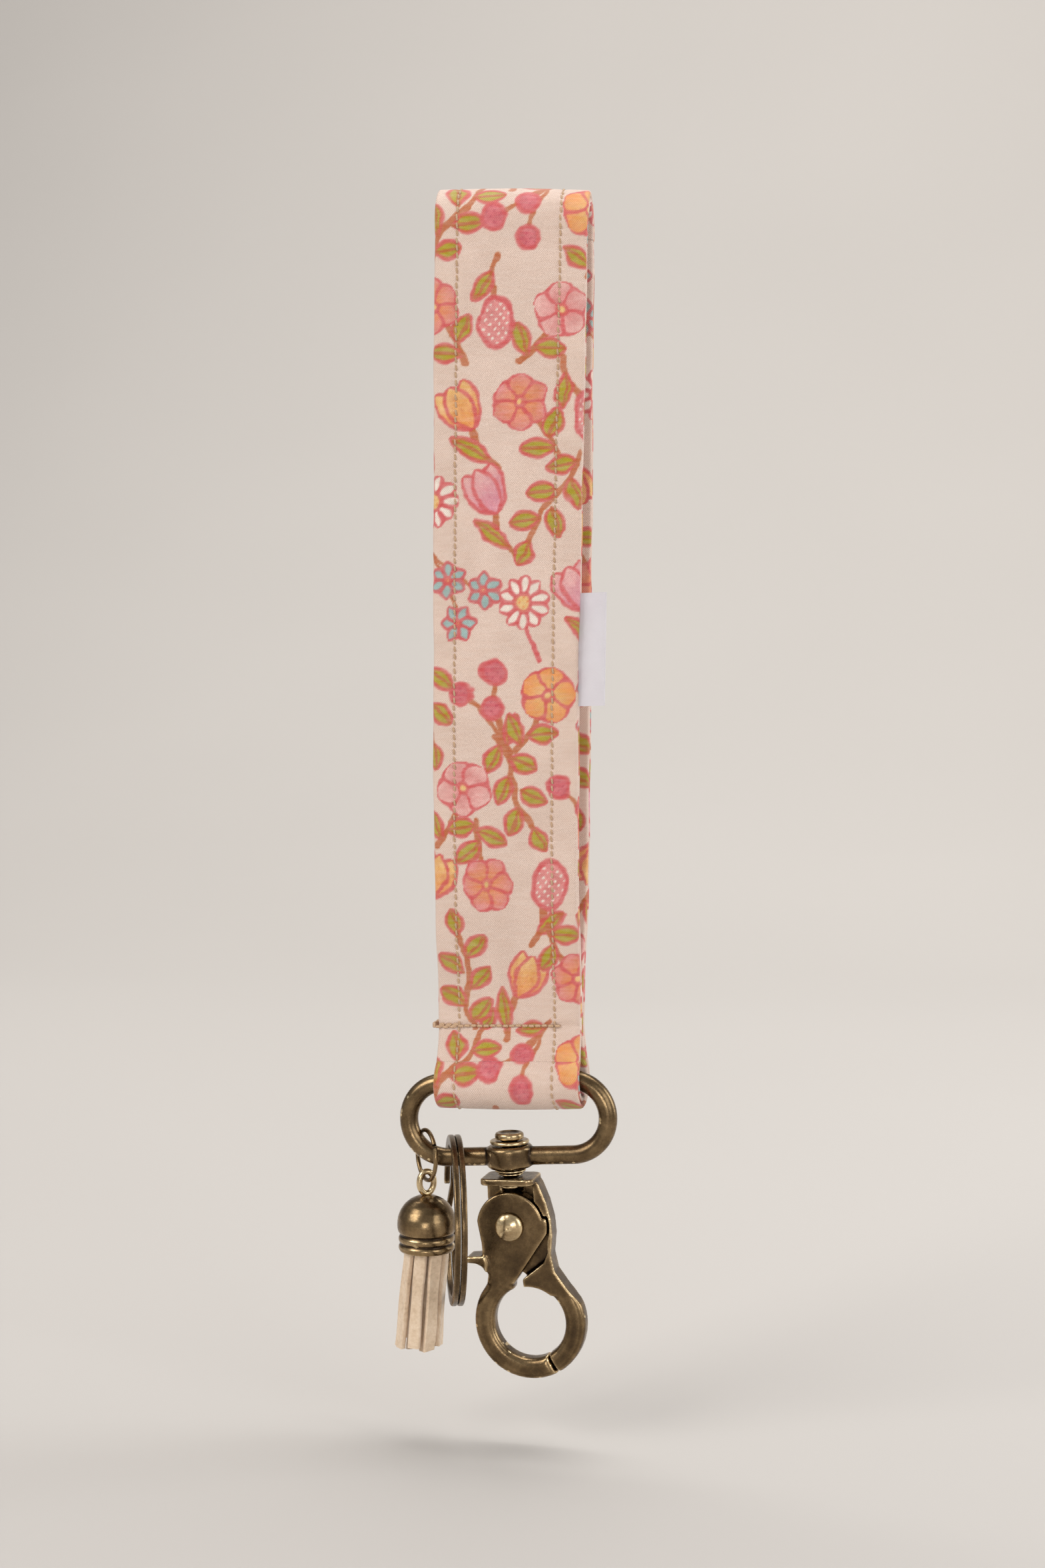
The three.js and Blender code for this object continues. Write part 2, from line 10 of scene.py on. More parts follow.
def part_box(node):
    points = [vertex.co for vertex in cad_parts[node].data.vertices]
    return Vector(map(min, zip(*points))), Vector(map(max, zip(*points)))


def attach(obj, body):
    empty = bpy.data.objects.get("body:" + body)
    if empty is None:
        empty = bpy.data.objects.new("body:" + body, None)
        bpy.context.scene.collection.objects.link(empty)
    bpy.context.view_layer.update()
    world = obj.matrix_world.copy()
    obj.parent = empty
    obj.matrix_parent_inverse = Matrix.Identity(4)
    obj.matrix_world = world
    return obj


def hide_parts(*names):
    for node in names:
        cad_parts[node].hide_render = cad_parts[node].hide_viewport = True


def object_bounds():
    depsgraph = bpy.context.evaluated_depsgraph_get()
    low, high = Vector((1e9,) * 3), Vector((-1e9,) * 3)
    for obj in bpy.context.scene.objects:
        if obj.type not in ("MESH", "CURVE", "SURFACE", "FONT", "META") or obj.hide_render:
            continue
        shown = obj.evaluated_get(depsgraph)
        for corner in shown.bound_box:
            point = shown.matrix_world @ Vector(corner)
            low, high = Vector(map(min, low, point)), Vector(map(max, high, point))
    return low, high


MM = 0.001

# ---- shared sizes, mm, as in the CAD

STRAP_WIDTH = 27.5
STRAP_THICKNESS = 2.3
INNER_TOP_RADIUS = 5.2
MIDDLE_TOP = INNER_TOP_RADIUS + STRAP_THICKNESS / 2
LEG_BULGE = 6.7
SEAM_Z = -147.8
SMALL_LOOP_Z = -158.0
MIDDLE_SMALL = 3.0 + STRAP_THICKNESS / 2
PINCH = STRAP_THICKNESS / 2 + 0.15
TOP_TWIST = radians(8)
TWIST_END_Z = -140.0
TOP_SLOPE = tan(radians(-1.5))
TOP_SLOPE_END_Z = -60.0
LOWER_SLOPE = tan(radians(2.2))
LOWER_SLOPE_FROM_Z = -90.0
LOWER_SLOPE_FULL_Z = -150.0
LEAN = -0.8

LEFT_ROW_X = -STRAP_WIDTH / 2 + 4.2
RIGHT_ROW_X = STRAP_WIDTH / 2 - 4.8
STITCH_PITCH = 1.3

FRAME_OFFSET_X = -2.0
UPPER_BAR_Z = -158.35
FRAME_DROP = 13.8
FRAME_ROLL = radians(4)
HOOK_ROLL = radians(2)
HALF_STRAIGHT = 11.9
END_RADIUS = 6.9
TUBE = 1.7
PIVOT_Z = -12.6


# ---- small helpers

def smoothstep(low, high, value):
    """From 0 at low to 1 at high, with a soft start and end."""
    t = np.clip((value - low) / (high - low), 0.0, 1.0)
    return t * t * (3 - 2 * t)


def arc_points(y, z, radius, start, end, steps):
    """Points on an arc about (y, z), from one angle to another in degrees."""
    angles = np.radians(np.linspace(start, end, steps + 1))
    return np.stack([y + radius * np.cos(angles), z + radius * np.sin(angles)], 1)


def spline(points, count):
    """A uniform Catmull-Rom curve through the points, as count + 1 points."""
    p = np.asarray(points, float)
    t = np.linspace(0, len(p) - 1, count + 1)
    i = np.minimum(t.astype(int), len(p) - 2)
    w = (t - i)[:, None]
    before, a, b, after = (p[np.clip(i + k, 0, len(p) - 1)] for k in (-1, 0, 1, 2))
    v0, v1 = (b - before) / 2, (after - a) / 2
    return (2 * a - 2 * b + v0 + v1) * w**3 + (-3 * a + 3 * b - 2 * v0 - v1) * w**2 + v0 * w + a


def even(line, spacing, closed=False):
    """The line cut into equal steps of about the spacing."""
    line = np.asarray(line, float)
    if closed:
        line = np.vstack([line, line[:1]])
    along = np.concatenate([[0], np.cumsum(np.linalg.norm(np.diff(line, axis=0), axis=1))])
    count = max(2, int(round(along[-1] / spacing)))
    wanted = np.linspace(0, along[-1], count + 1)
    points = np.stack([np.interp(wanted, along, line[:, k]) for k in range(line.shape[1])], 1)
    return (points[:-1], along[-1]) if closed else (points, along[-1])


def directions(line, closed=False):
    """The line's unit direction at each of its points."""
    if closed:
        ahead = np.roll(line, -1, 0) - np.roll(line, 1, 0)
    else:
        ahead = np.gradient(line, axis=0)
    return ahead / np.linalg.norm(ahead, axis=1)[:, None]


def grid_faces(rows, columns, rows_closed=False, columns_closed=False):
    """The quads between a grid's points, which are numbered row by row."""
    i = np.arange(rows if rows_closed else rows - 1)[:, None]
    j = np.arange(columns if columns_closed else columns - 1)[None, :]
    a = i * columns + j
    b = i * columns + (j + 1) % columns
    c = (i + 1) % rows * columns + (j + 1) % columns
    d = (i + 1) % rows * columns + j
    return np.stack([a, b, c, d], -1).reshape(-1, 4)


def capped_faces(rows, columns):
    """A tube's quads, and a flat face at each end that is wound against them."""
    first = list(range(columns))
    last = list(range((rows - 1) * columns, rows * columns))
    return [*grid_faces(rows, columns, columns_closed=True).tolist(), first, last[::-1]]


def inside_out(points, faces):
    """Whether a body faces inwards, from the signed volume of its quads."""
    quads = points[np.array([f for f in faces if len(f) == 4])]
    a, b, c, d = (quads[:, k] - points.mean(0) for k in range(4))
    return (np.cross(b, c) * a).sum() + (np.cross(c, d) * a).sum() < 0


def mesh_object(name, points_mm, faces):
    """A smooth mesh from points in millimetres and an array of quads, or a list of polygons."""
    mesh = bpy.data.meshes.new(name)
    points = np.asarray(points_mm, np.float32).reshape(-1, 3) * MM
    if inside_out(points.astype(float), faces):
        faces = [f[::-1] for f in faces]
    mesh.vertices.add(len(points))
    mesh.vertices.foreach_set("co", points.ravel())
    corners = np.concatenate(faces).astype(np.int32)
    counts = np.array([len(f) for f in faces], np.int32)
    mesh.loops.add(len(corners))
    mesh.loops.foreach_set("vertex_index", corners)
    mesh.polygons.add(len(counts))
    mesh.polygons.foreach_set("loop_start", (np.cumsum(counts) - counts).astype(np.int32))
    mesh.polygons.foreach_set("use_smooth", np.full(len(counts), True))
    mesh.update(calc_edges=True)
    mesh.validate()
    piece = bpy.data.objects.new(name, mesh)
    bpy.context.scene.collection.objects.link(piece)
    return piece


def point_attribute(piece, name, values):
    """A colour or vector for each of the mesh's points, which a material reads by its name."""
    kind, field = ("FLOAT_COLOR", "color") if values.shape[-1] == 4 else ("FLOAT_VECTOR", "vector")
    attribute = piece.data.attributes.new(name, kind, "POINT")
    attribute.data.foreach_set(field, values.astype(np.float32).ravel())


def joined(name, pieces):
    """One object made of several."""
    whole = pieces[0]
    with bpy.context.temp_override(
        active_object=whole, object=whole, selected_editable_objects=pieces, selected_objects=pieces,
    ):
        bpy.ops.object.join()
    whole.name = name
    whole.data.name = name
    return whole


# ---- the cotton's flower print

PRINT_SCALE = 1.3  # how much larger the drawing is on the cloth
REPEAT = 152.4 / PRINT_SCALE  # the print's repeat along the strap
PRINT_HALF = 15.0 / PRINT_SCALE  # half of the drawing's width
CELL = 0.08  # size of one cell of the drawing, mm

GROUND = (232, 206, 190)
OUTLINE = (216, 78, 84)
TEAL = (166, 196, 190)
DEEP_TEAL = (148, 184, 182)
RASPBERRY = (214, 96, 108)
MAGENTA = (200, 76, 96)
CHARTREUSE = (184, 170, 14)
MOSS = (168, 152, 20)
ORANGE = (238, 146, 72)
YELLOW = (242, 198, 126)
BROWN = (192, 98, 48)
SALMON = (228, 138, 136)
LILAC = (222, 136, 160)
BLUSH = (238, 184, 176)
CREAM = (246, 232, 218)


def cloud(shape, steps, seed):
    """Soft blotches from -1 to 1, with about the given number of steps down and across."""
    rough = np.random.default_rng(seed).uniform(-1, 1, (steps[0] + 1, steps[1] + 1))
    rough[-1] = rough[0]
    down = np.linspace(0, steps[0], shape[0], endpoint=False)
    across = np.linspace(0, steps[1], shape[1])
    i = np.minimum(down.astype(int), steps[0] - 1)
    j = np.minimum(across.astype(int), steps[1] - 1)
    u = smoothstep(0, 1, down - i)[:, None]
    w = smoothstep(0, 1, across - j)[None, :]
    top = rough[i][:, j] * (1 - w) + rough[i][:, j + 1] * w
    low = rough[i + 1][:, j] * (1 - w) + rough[i + 1][:, j + 1] * w
    return top * (1 - u) + low * u


class Cloth:
    """The print as a drawing: v runs across the strap to the right, s down it from the loop's top."""

    def __init__(self):
        self.s = np.arange(0, REPEAT, CELL)
        self.v = np.arange(-PRINT_HALF, PRINT_HALF, CELL)
        shape = (len(self.s), len(self.v))
        self.blotch = 0.6 * cloud(shape, (90, 18), 3) + 0.4 * cloud(shape, (330, 66), 4)
        self.wobble = cloud(shape, (60, 12), 5) * 0.35 + cloud(shape, (180, 36), 6) * 0.12
        self.colour = np.array(GROUND) + 5 * cloud(shape, (40, 8), 8)[..., None]

    def near(self, centre, reach):
        """The patches of the drawing near a place, once for each repeat that touches them."""
        for shift in (-REPEAT, 0, REPEAT):
            s0 = centre[1] + shift
            rows = slice(*np.searchsorted(self.s, (s0 - reach, s0 + reach)))
            columns = slice(*np.searchsorted(self.v, (centre[0] - reach, centre[0] + reach)))
            if rows.start < rows.stop and columns.start < columns.stop:
                wobble = self.wobble[rows, columns]
                v = self.v[columns][None, :] + wobble
                s = self.s[rows][:, None] - shift + wobble.mean()
                yield v, s, self.blotch[rows, columns], self.colour[rows, columns]

    @staticmethod
    def paint(patch, cover, colour):
        patch += cover[..., None] * (np.asarray(colour) - patch)

    def shape(self, patch, edge, blotch, fill, outlined=True):
        """Paints a filled shape; edge is the distance inside its outline, in mm."""
        self.paint(patch, smoothstep(-0.08, 0.1, edge), fill)
        if outlined:
            stroke = smoothstep(0.42, 0.16, np.abs(edge - 0.05)) * (0.82 + 0.18 * blotch)
            self.paint(patch, stroke, OUTLINE)

    def petal(self, base, tip, width, fill, tip_fill, widest, veins=0.0, full=0.7):
        """A petal or leaf: widest is where along it, and full how blunt its ends are."""
        base, tip = np.array(base, float), np.array(tip, float)
        length = np.linalg.norm(tip - base)
        along = (tip - base) / length
        power = log(0.5) / log(widest)
        for v, s, blotch, patch in self.near((base + tip) / 2, length / 2 + width / 2 + 1):
            a = ((v - base[0]) * along[0] + (s - base[1]) * along[1]) / length
            b = (s - base[1]) * along[0] - (v - base[0]) * along[1]
            inner = np.clip(a, 0, 1)
            half = width / 2 * np.sin(pi * inner**power) ** full
            edge = half - np.abs(b) - 9 * np.abs(a - inner) * length
            shade = np.clip(inner + 0.25 * blotch, 0, 1)[..., None]
            mixed = np.asarray(fill) * (1 - shade) + np.asarray(tip_fill) * shade
            mixed = mixed + 14 * blotch[..., None]
            if veins:
                stripes = np.maximum(0, np.cos(b * 2 * pi / veins)) ** 3 * (inner < 0.8)
                mixed = mixed + (np.asarray(OUTLINE) - mixed) * 0.1 * stripes[..., None]
            self.shape(patch, edge, blotch, mixed)

    def oval(self, centre, across, down, fill, hatch=None, outlined=True):
        """An oval, with cross-hatching in a second colour if one is given."""
        for v, s, blotch, patch in self.near(centre, max(across, down) / 2 + 1):
            x = (v - centre[0]) / (across / 2)
            y = (s - centre[1]) / (down / 2)
            edge = (1 - np.sqrt(x * x + y * y) * (1 + 0.04 * blotch)) * min(across, down) / 2
            mixed = np.asarray(fill) + 18 * blotch[..., None]
            if hatch is not None:
                ticks = np.maximum(0, np.sin((v + s) * 5.2)) * np.maximum(0, np.sin((v - s) * 4.4))
                mixed = mixed + (np.asarray(hatch) - mixed) * smoothstep(0.1, 0.6, ticks)[..., None]
            self.shape(patch, edge, blotch, mixed, outlined)

    def stem(self, points, width, colour):
        line, _ = even(spline(points, 12 * len(points)), 0.3 * width)
        for v, s, blotch, patch in self.near(line.mean(0), np.ptp(line, axis=0).max() / 2 + 1.5):
            away = np.full(patch.shape[:2], 99.0)
            for x, y in line:
                away = np.minimum(away, np.hypot(v - x, s - y))
            self.paint(patch, smoothstep(0.08, -0.08, away - width / 2) * (0.9 + 0.1 * blotch), colour)

    def leaf(self, base, tip, width):
        self.petal(base, tip, width, CHARTREUSE, MOSS, widest=0.5, full=0.85)
        middle = ((base[0] + tip[0]) / 2 + 0.3, (base[1] + tip[1]) / 2)
        end = (0.9 * tip[0] + 0.1 * base[0], 0.9 * tip[1] + 0.1 * base[1])
        self.stem([base, middle, end], 0.45, BROWN)

    def flower(self, centre, reach, width, count, fill, tip_fill, turn):
        for k in range(count):
            angle = radians(turn + 360 * k / count)
            tip = (centre[0] + reach * cos(angle), centre[1] + reach * sin(angle))
            self.petal(centre, tip, width, fill, tip_fill, widest=0.65, veins=0.8)
        self.oval(centre, reach * 0.2, reach * 0.2, OUTLINE, outlined=False)


def sprig_frame(centre, turn):
    """Places of a sprig's points: x to its right and y down its stem, turned about its centre."""
    c, n = cos(turn), sin(turn)
    return lambda x, y: (centre[0] + x * c - y * n, centre[1] + x * n + y * c)


def round_flower(cloth, at, fill, tip_fill, count):
    cloth.stem([at(0, 0), at(0.7, 4.5), at(0.1, 8.4)], 0.9, BROWN)
    cloth.leaf(at(0.5, 5.6), at(3.9, 2.9), 2.6)
    cloth.leaf(at(0.4, 7.2), at(-3.6, 4.6), 2.5)
    any_turn = 90 + 57 * at(0, 0)[0]
    cloth.flower(at(0, -0.6), 3.9, 19.0 / count, count, fill, tip_fill, any_turn)
    cloth.oval(at(0, -0.6), 1.5, 1.5, YELLOW)


def tulip(cloth, at, fill, tip_fill):
    cloth.stem([at(0, 1), at(-0.6, 5), at(0.4, 8.6)], 0.9, BROWN)
    cloth.leaf(at(0, 7.4), at(-3.2, 1.6), 2.3)
    for x in (-2.1, 2.1, 0):
        cloth.petal(at(0, 2.2), at(x, -4.4), 3.6, fill, tip_fill, widest=0.5, veins=0.9)


def petals_round(cloth, at, x, y, reach, count, turn, *look, **shape):
    for k in range(count):
        angle = radians(turn + 360 * k / count)
        cloth.petal(at(x, y), at(x + reach * cos(angle), y + reach * sin(angle)), *look, **shape)


def full_daisy(cloth, at):
    cloth.stem([at(0, 0), at(-0.5, 4.5), at(0.2, 8.2)], 0.7, OUTLINE)
    petals_round(cloth, at, 0, 0, 3.7, 10, 0, 1.7, CREAM, CREAM, widest=0.7)
    cloth.oval(at(0, 0), 2.6, 2.6, YELLOW, hatch=ORANGE)


def berries(cloth, at):
    for x, y, size in ((-3.0, -2.4, 3.1), (2.6, -3.2, 3.4), (0.2, 1.2, 3.0)):
        cloth.stem([at(x, y), at(0.4 * x, y + 3.4), at(0, 7.8)], 0.6, BROWN)
        cloth.oval(at(x, y), size, size, RASPBERRY, hatch=MAGENTA)
    cloth.leaf(at(0, 6.6), at(3.4, 3.4), 2.2)


def leafy_twig(cloth, at):
    cloth.stem([at(-0.6, -6.5), at(0.6, -1), at(-0.4, 4), at(0.6, 8)], 0.9, BROWN)
    for x, y in ((3.6, -5.4), (-3.4, -3.2), (3.8, -0.8), (-3.8, 1.6), (3.4, 3.8)):
        cloth.leaf(at(0.1 * x, y + 3.0), at(x, y), 2.5)
    cloth.leaf(at(-0.5, -5.6), at(-0.9, -9.4), 2.4)


def star_cluster(cloth, at):
    for x, y, turn in ((-2.9, -1.6, 10), (2.9, -2.6, 40), (0.4, 3.0, 70)):
        cloth.stem([at(x, y), at(0.5 * x, y + 2.4), at(0, 7.4)], 0.5, BROWN)
        petals_round(cloth, at, x, y, 2.7, 6, turn, 1.7, TEAL, DEEP_TEAL, widest=0.55, full=1.0)
        cloth.oval(at(x, y), 0.9, 0.9, YELLOW)


def round_bud(cloth, at):
    cloth.stem([at(0, 2), at(0.9, 5), at(0, 8)], 0.9, BROWN)
    cloth.leaf(at(0.6, 6), at(3.3, 1.8), 2.2)
    cloth.oval(at(0, -1), 5.0, 6.8, SALMON, hatch=CREAM)


SPRIGS = (
    (round_flower, SALMON, BLUSH, 5), (star_cluster,), (tulip, ORANGE, YELLOW), (leafy_twig,),
    (full_daisy,), (round_flower, ORANGE, SALMON, 6), (berries,), (tulip, LILAC, BLUSH), (round_bud,),
    (round_flower, YELLOW, ORANGE, 5), (leafy_twig,),
)
SPRIG_ROWS = 9
SPRIG_COLUMNS = 4
SPRIG_SPACING = 8.6     # from column to column, mm in the drawing
MIDDLE_COLUMN = 1.75    # where the strap's middle is, counted in columns
TOSS_ACROSS = 0.6       # the most that a sprig is moved sideways, mm
TOSS_ALONG = 1.0        # the most that it is moved along the strap, mm
TOSS_TURN = 42          # the most that it is turned, degrees


def draw_cloth():
    """A generic flower print: small sprigs tossed in rows, every other row shifted by half a column."""
    cloth = Cloth()
    chance = np.random.default_rng(11)
    for row in range(SPRIG_ROWS):
        for column in range(SPRIG_COLUMNS):
            draw, *colours = SPRIGS[(5 * row + 3 * column) % len(SPRIGS)]
            v = SPRIG_SPACING * (column - MIDDLE_COLUMN + 0.5 * (row % 2))
            v += chance.uniform(-TOSS_ACROSS, TOSS_ACROSS)
            s = (row + 0.5) * REPEAT / SPRIG_ROWS + chance.uniform(-TOSS_ALONG, TOSS_ALONG)
            upside_down = 180 * ((row + column) % 3 == 2)
            turn = radians(chance.uniform(-TOSS_TURN, TOSS_TURN) + upside_down)
            draw(cloth, sprig_frame((v, s), turn), *colours)
    return np.clip(cloth.colour, 0, 255)


def linear(colour):
    """A screen colour from 0 to 255 as linear light from 0 to 1."""
    c = np.asarray(colour, float) / 255
    return np.where(c <= 0.04045, c / 12.92, ((c + 0.055) / 1.055) ** 2.4)


def print_at(drawing, v, s):
    """The print's linear colours at places on the cloth."""
    rows = (np.mod(s / PRINT_SCALE, REPEAT) / CELL).astype(int) % drawing.shape[0]
    columns = np.clip(((v / PRINT_SCALE + PRINT_HALF) / CELL).astype(int), 0, drawing.shape[1] - 1)
    rgb = linear(drawing[rows, columns])
    return np.concatenate([rgb, np.ones(rgb.shape[:-1] + (1,))], -1)


# ---- strap

def strap_middle_line():
    """The doubled strap's middle line round the loop, seen from the side, as points [y, z]."""
    top = arc_points(0, -INNER_TOP_RADIUS, MIDDLE_TOP, 0, 180, 60)
    small = arc_points(0, SMALL_LOOP_Z, MIDDLE_SMALL, 130, 410, 60)
    leg = [
        (-LEG_BULGE, -30), (-LEG_BULGE, -62), (0.6 - LEG_BULGE, -95), (2.6 - LEG_BULGE, -125),
        (-PINCH - 0.5, SEAM_Z + 9), (-PINCH, SEAM_Z + 1.5), (-PINCH, SEAM_Z - 1.5),
    ]
    down = spline([top[-1], *leg, small[0]], 400)
    up = down[::-1] * (-1, 1)
    return np.vstack([top[:-1], down[:-1], small[:-1], up[:-1]])


def hung(points):
    """Turns, slopes and leans points of the upright strap as the CAD does."""
    x, y, z = np.moveaxis(np.asarray(points, float), -1, 0)
    turn = TOP_TWIST * np.clip(1 - z / TWIST_END_Z, 0, 1)
    near_top = np.clip(1 - z / TOP_SLOPE_END_Z, 0, 1)
    near_end = np.clip((z - LOWER_SLOPE_FROM_Z) / (LOWER_SLOPE_FULL_Z - LOWER_SLOPE_FROM_Z), 0, 1)
    return np.stack([
        x * np.cos(turn) - y * np.sin(turn) + LEAN * np.clip(z / LOWER_SLOPE_FULL_Z, 0, 1),
        x * np.sin(turn) + y * np.cos(turn),
        z + x * (TOP_SLOPE * near_top + LOWER_SLOPE * near_end),
    ], -1)


class StrapPath:
    """Places on the strap: s runs round the loop, x across it, out away from its middle line."""

    def __init__(self, spacing):
        self.line, self.length = even(strap_middle_line(), spacing, closed=True)
        self.ahead = directions(self.line, closed=True)
        self.s = np.arange(len(self.line)) * self.length / len(self.line)

    def at(self, s, x, out):
        """Points in the part's frame, in millimetres, for arrays of s, x and out."""
        s = np.mod(s, self.length)
        own = np.append(self.s, self.length)

        def along(values):
            closed = np.append(values, values[:1])
            return np.interp(s, own, closed)
        y, z = along(self.line[:, 0]), along(self.line[:, 1])
        dy, dz = along(self.ahead[:, 0]), along(self.ahead[:, 1])
        return hung(np.stack([x + 0 * y, y + out * dz, z - out * dy], -1))

    def s_where(self, z, front=True):
        """Where the strap's front or back leg passes a height."""
        y, heights = self.line[:, 0], self.line[:, 1]
        side = (y < 0) if front else (y > 0)
        off = np.where(side & (heights > SMALL_LOOP_Z + 4), np.abs(heights - z), 99)
        return self.s[int(np.argmin(off))]


QUARTER_TURN = pi / 2 * MIDDLE_TOP  # from the path's start to the loop's top
EDGE_FOLD = 0.52  # radius of each folded edge at the open side
GROOVE = 0.12  # half of the slit between the two folded edges
CLOTH_STEP = 0.22  # distance between the cloth's points
OUTER_FROM = -0.35  # from here outwards, the outer face's print shows
INNER_PRINT_ACROSS = 1.5  # the print's shift on the inner face
INNER_PRINT_ALONG = 61.0
EDGE_ZONE = 1.4  # beside each edge, where the print goes round it


def cloth_section(step):
    """The folded cloth seen end on, from inside the slit round the strap and back, as [x, out]."""
    half, face = STRAP_WIDTH / 2, STRAP_THICKNESS / 2
    fold_x = half - EDGE_FOLD
    outer_fold = [(half - 2.2, GROOVE)]
    outer_fold += list(arc_points(fold_x, GROOVE + EDGE_FOLD, EDGE_FOLD, -90, 90, 12))
    left = list(arc_points(0, 0, 1, 90, 270, 24) * (0.55, face) + (0.55 - half, 0))
    inner_fold = [(x, -out) for x, out in outer_fold[::-1]]
    return even(outer_fold + left + inner_fold, step)[0]


def width_factor(z):
    """The real strap is a little narrower in its middle than at its two ends."""
    return np.interp(z, (-165, -147.8, -80, -10, 5), (0.995, 0.965, 0.962, 0.99, 0.995))


def cloth_relief(s, x, z):
    """How far the outer face stands proud of its flat place, by stitch grooves, puckers and waves."""
    half = STRAP_WIDTH / 2
    relief = 0.16 * (1 - (x / half) ** 2)
    for row in (LEFT_ROW_X, RIGHT_ROW_X):
        near = np.exp(-(((x - row) / 0.55) ** 2))
        relief -= near * (0.13 + 0.05 * np.cos(2 * pi * s / STITCH_PITCH))
        pucker = np.sin(2 * pi * s / 2.9 + 2.2 * np.sin(s / 7.3)) * np.sin(s / 11.0 + row)
        relief += 0.06 * pucker * np.exp(-np.abs(x - row) / 1.6)
    relief += 0.07 * np.sin(s / 9.0 + 0.9 * np.sin(x / 5.0)) * np.cos(x / 6.0)
    seam = np.exp(-(((z - SEAM_Z) / 0.7) ** 2))
    relief -= 0.22 * seam
    relief += 0.05 * np.exp(-(((z - SEAM_Z) / 3.0) ** 2)) * np.sin(x * 2.4)
    return relief


def strap_cloth(path, drawing):
    """The printed cotton: one sheet folded round the interfacing, its two edges meeting on the right."""
    section = cloth_section(CLOTH_STEP)
    around = np.linspace(0, np.linalg.norm(np.diff(section, axis=0), axis=1).sum(), len(section))
    s, z, x, out, around = np.broadcast_arrays(
        path.s[:, None], path.line[:, 1:], section[:, 0], section[:, 1], around,
    )
    share = np.clip(out / (STRAP_THICKNESS / 2), -1, 1)
    shaped_out = out + np.sign(out) * share**2 * cloth_relief(s + 3 * (out < 0), x, z)
    edge_wave = 0.06 * np.sin(s / 5.7) + 0.04 * np.sin(s / 2.3 + 1)
    shaped_x = x * width_factor(z) + edge_wave * np.sign(x) * np.abs(x / STRAP_WIDTH * 2) ** 4
    points = path.at(s, shaped_x, shaped_out)
    piece = mesh_object("strap_cloth", points, grid_faces(*s.shape, rows_closed=True))
    outer = out >= OUTER_FROM
    v = np.where(outer, x, INNER_PRINT_ACROSS - x)
    down = s - QUARTER_TURN + np.where(outer, 0, INNER_PRINT_ALONG)
    beyond = np.clip(STRAP_THICKNESS / 2 - np.abs(out), 0, None)
    v = v + np.sign(v) * beyond * (np.abs(x) > STRAP_WIDTH / 2 - EDGE_ZONE)
    point_attribute(piece, "print", print_at(drawing, v, down))
    point_attribute(piece, "cloth_mm", np.stack([s, around, share], -1))
    return piece


def strap_core(path):
    """The interfacing inside the folded cotton, which only the slit at the right edge shows."""
    left, right, thick = 0.9 - STRAP_WIDTH / 2, STRAP_WIDTH / 2 - 2.5, 0.5
    section = []
    for angle in np.radians(np.arange(0, 360, 30)):
        x = (right if cos(angle) >= 0 else left) + 0.45 * cos(angle)
        section.append((0.96 * x, thick * sin(angle)))
    section = np.array(section)
    rows = path.s[::6]
    points = path.at(rows[:, None], section[:, 0], section[:, 1])
    faces = grid_faces(len(rows), len(section), rows_closed=True, columns_closed=True)
    return mesh_object("strap_interfacing_band", points, faces)


THREAD_SIDES = 8
THREAD_END = np.array([(0, 1, 2, 3), (0, 3, 4, 7), (4, 5, 6, 7)])  # quads that close a ring of eight
TOPSTITCH_RADIUS = 0.19
SEAM_RADIUS = 0.26
SEAM_PITCH = 1.25
SEAM_LEFT, SEAM_RIGHT = -13.6, 10.9  # the two ends of the row across the strap
STITCH_STEPS = np.linspace(-0.5, 0.5, 7)  # points along one stitch


def thread_run(points, radius):
    """One visible stitch: a plump thread that dives into the cloth at both ends."""
    ahead = directions(points)
    spare = (0.0, 1.0, 0.0) if abs(ahead[:, 0]).mean() > 0.7 else (1.0, 0.0, 0.0)
    side = np.cross(ahead, spare)
    side /= np.linalg.norm(side, axis=1)[:, None]
    up = np.cross(side, ahead)
    t = np.linspace(0, 1, len(points))
    size = radius * np.clip(1.9 * np.sin(pi * (0.06 + 0.88 * t)) ** 0.6, 0.3, 1.0)
    across, high = circle(1.0, THREAD_SIDES).T[..., None]
    ring = across * side[:, None] + high * up[:, None]
    return points[:, None, :] + size[:, None, None] * ring


def stitch_rows(name, path, row_x):
    """A whole row of separate stitches, on the strap's outer and inner face."""
    face, t = STRAP_THICKNESS / 2, STITCH_STEPS
    rings = []
    count = int(path.length / STITCH_PITCH)
    pitch = path.length / count
    for side in (1, -1):
        for k in range(count):
            s = (k + 0.5) * pitch + t * pitch * 0.76
            z = np.interp(np.mod(s, path.length), path.s, path.line[:, 1])
            lift = 0.03 - 0.22 * np.abs(2 * t) ** 4
            wander = 0.05 * sin(k * 2.1) + 0.04 * sin(k * 0.37)
            x = row_x * width_factor(z) + wander + 0.07 * 2 * t
            rings.append(thread_run(path.at(s, x, side * (face + lift)), TOPSTITCH_RADIUS))
    return merged_runs(name, rings)


def merged_runs(name, rings):
    """Many short threads as one mesh, each closed at both ends."""
    rows, columns = rings[0].shape[:2]
    sides = grid_faces(rows, columns, columns_closed=True)
    faces = np.vstack([sides, THREAD_END[:, ::-1], THREAD_END + (rows - 1) * columns])
    every = np.concatenate([faces + k * rows * columns for k in range(len(rings))])
    piece = mesh_object(name, np.concatenate([r.reshape(-1, 3) for r in rings]), every)
    along = np.tile(np.repeat(np.linspace(0, 1, rows), columns), len(rings))
    around = np.tile(np.tile(np.linspace(0, 1, columns, endpoint=False), rows), len(rings))
    point_attribute(piece, "thread_uv", np.stack([along, around, 0 * along], -1))
    return piece


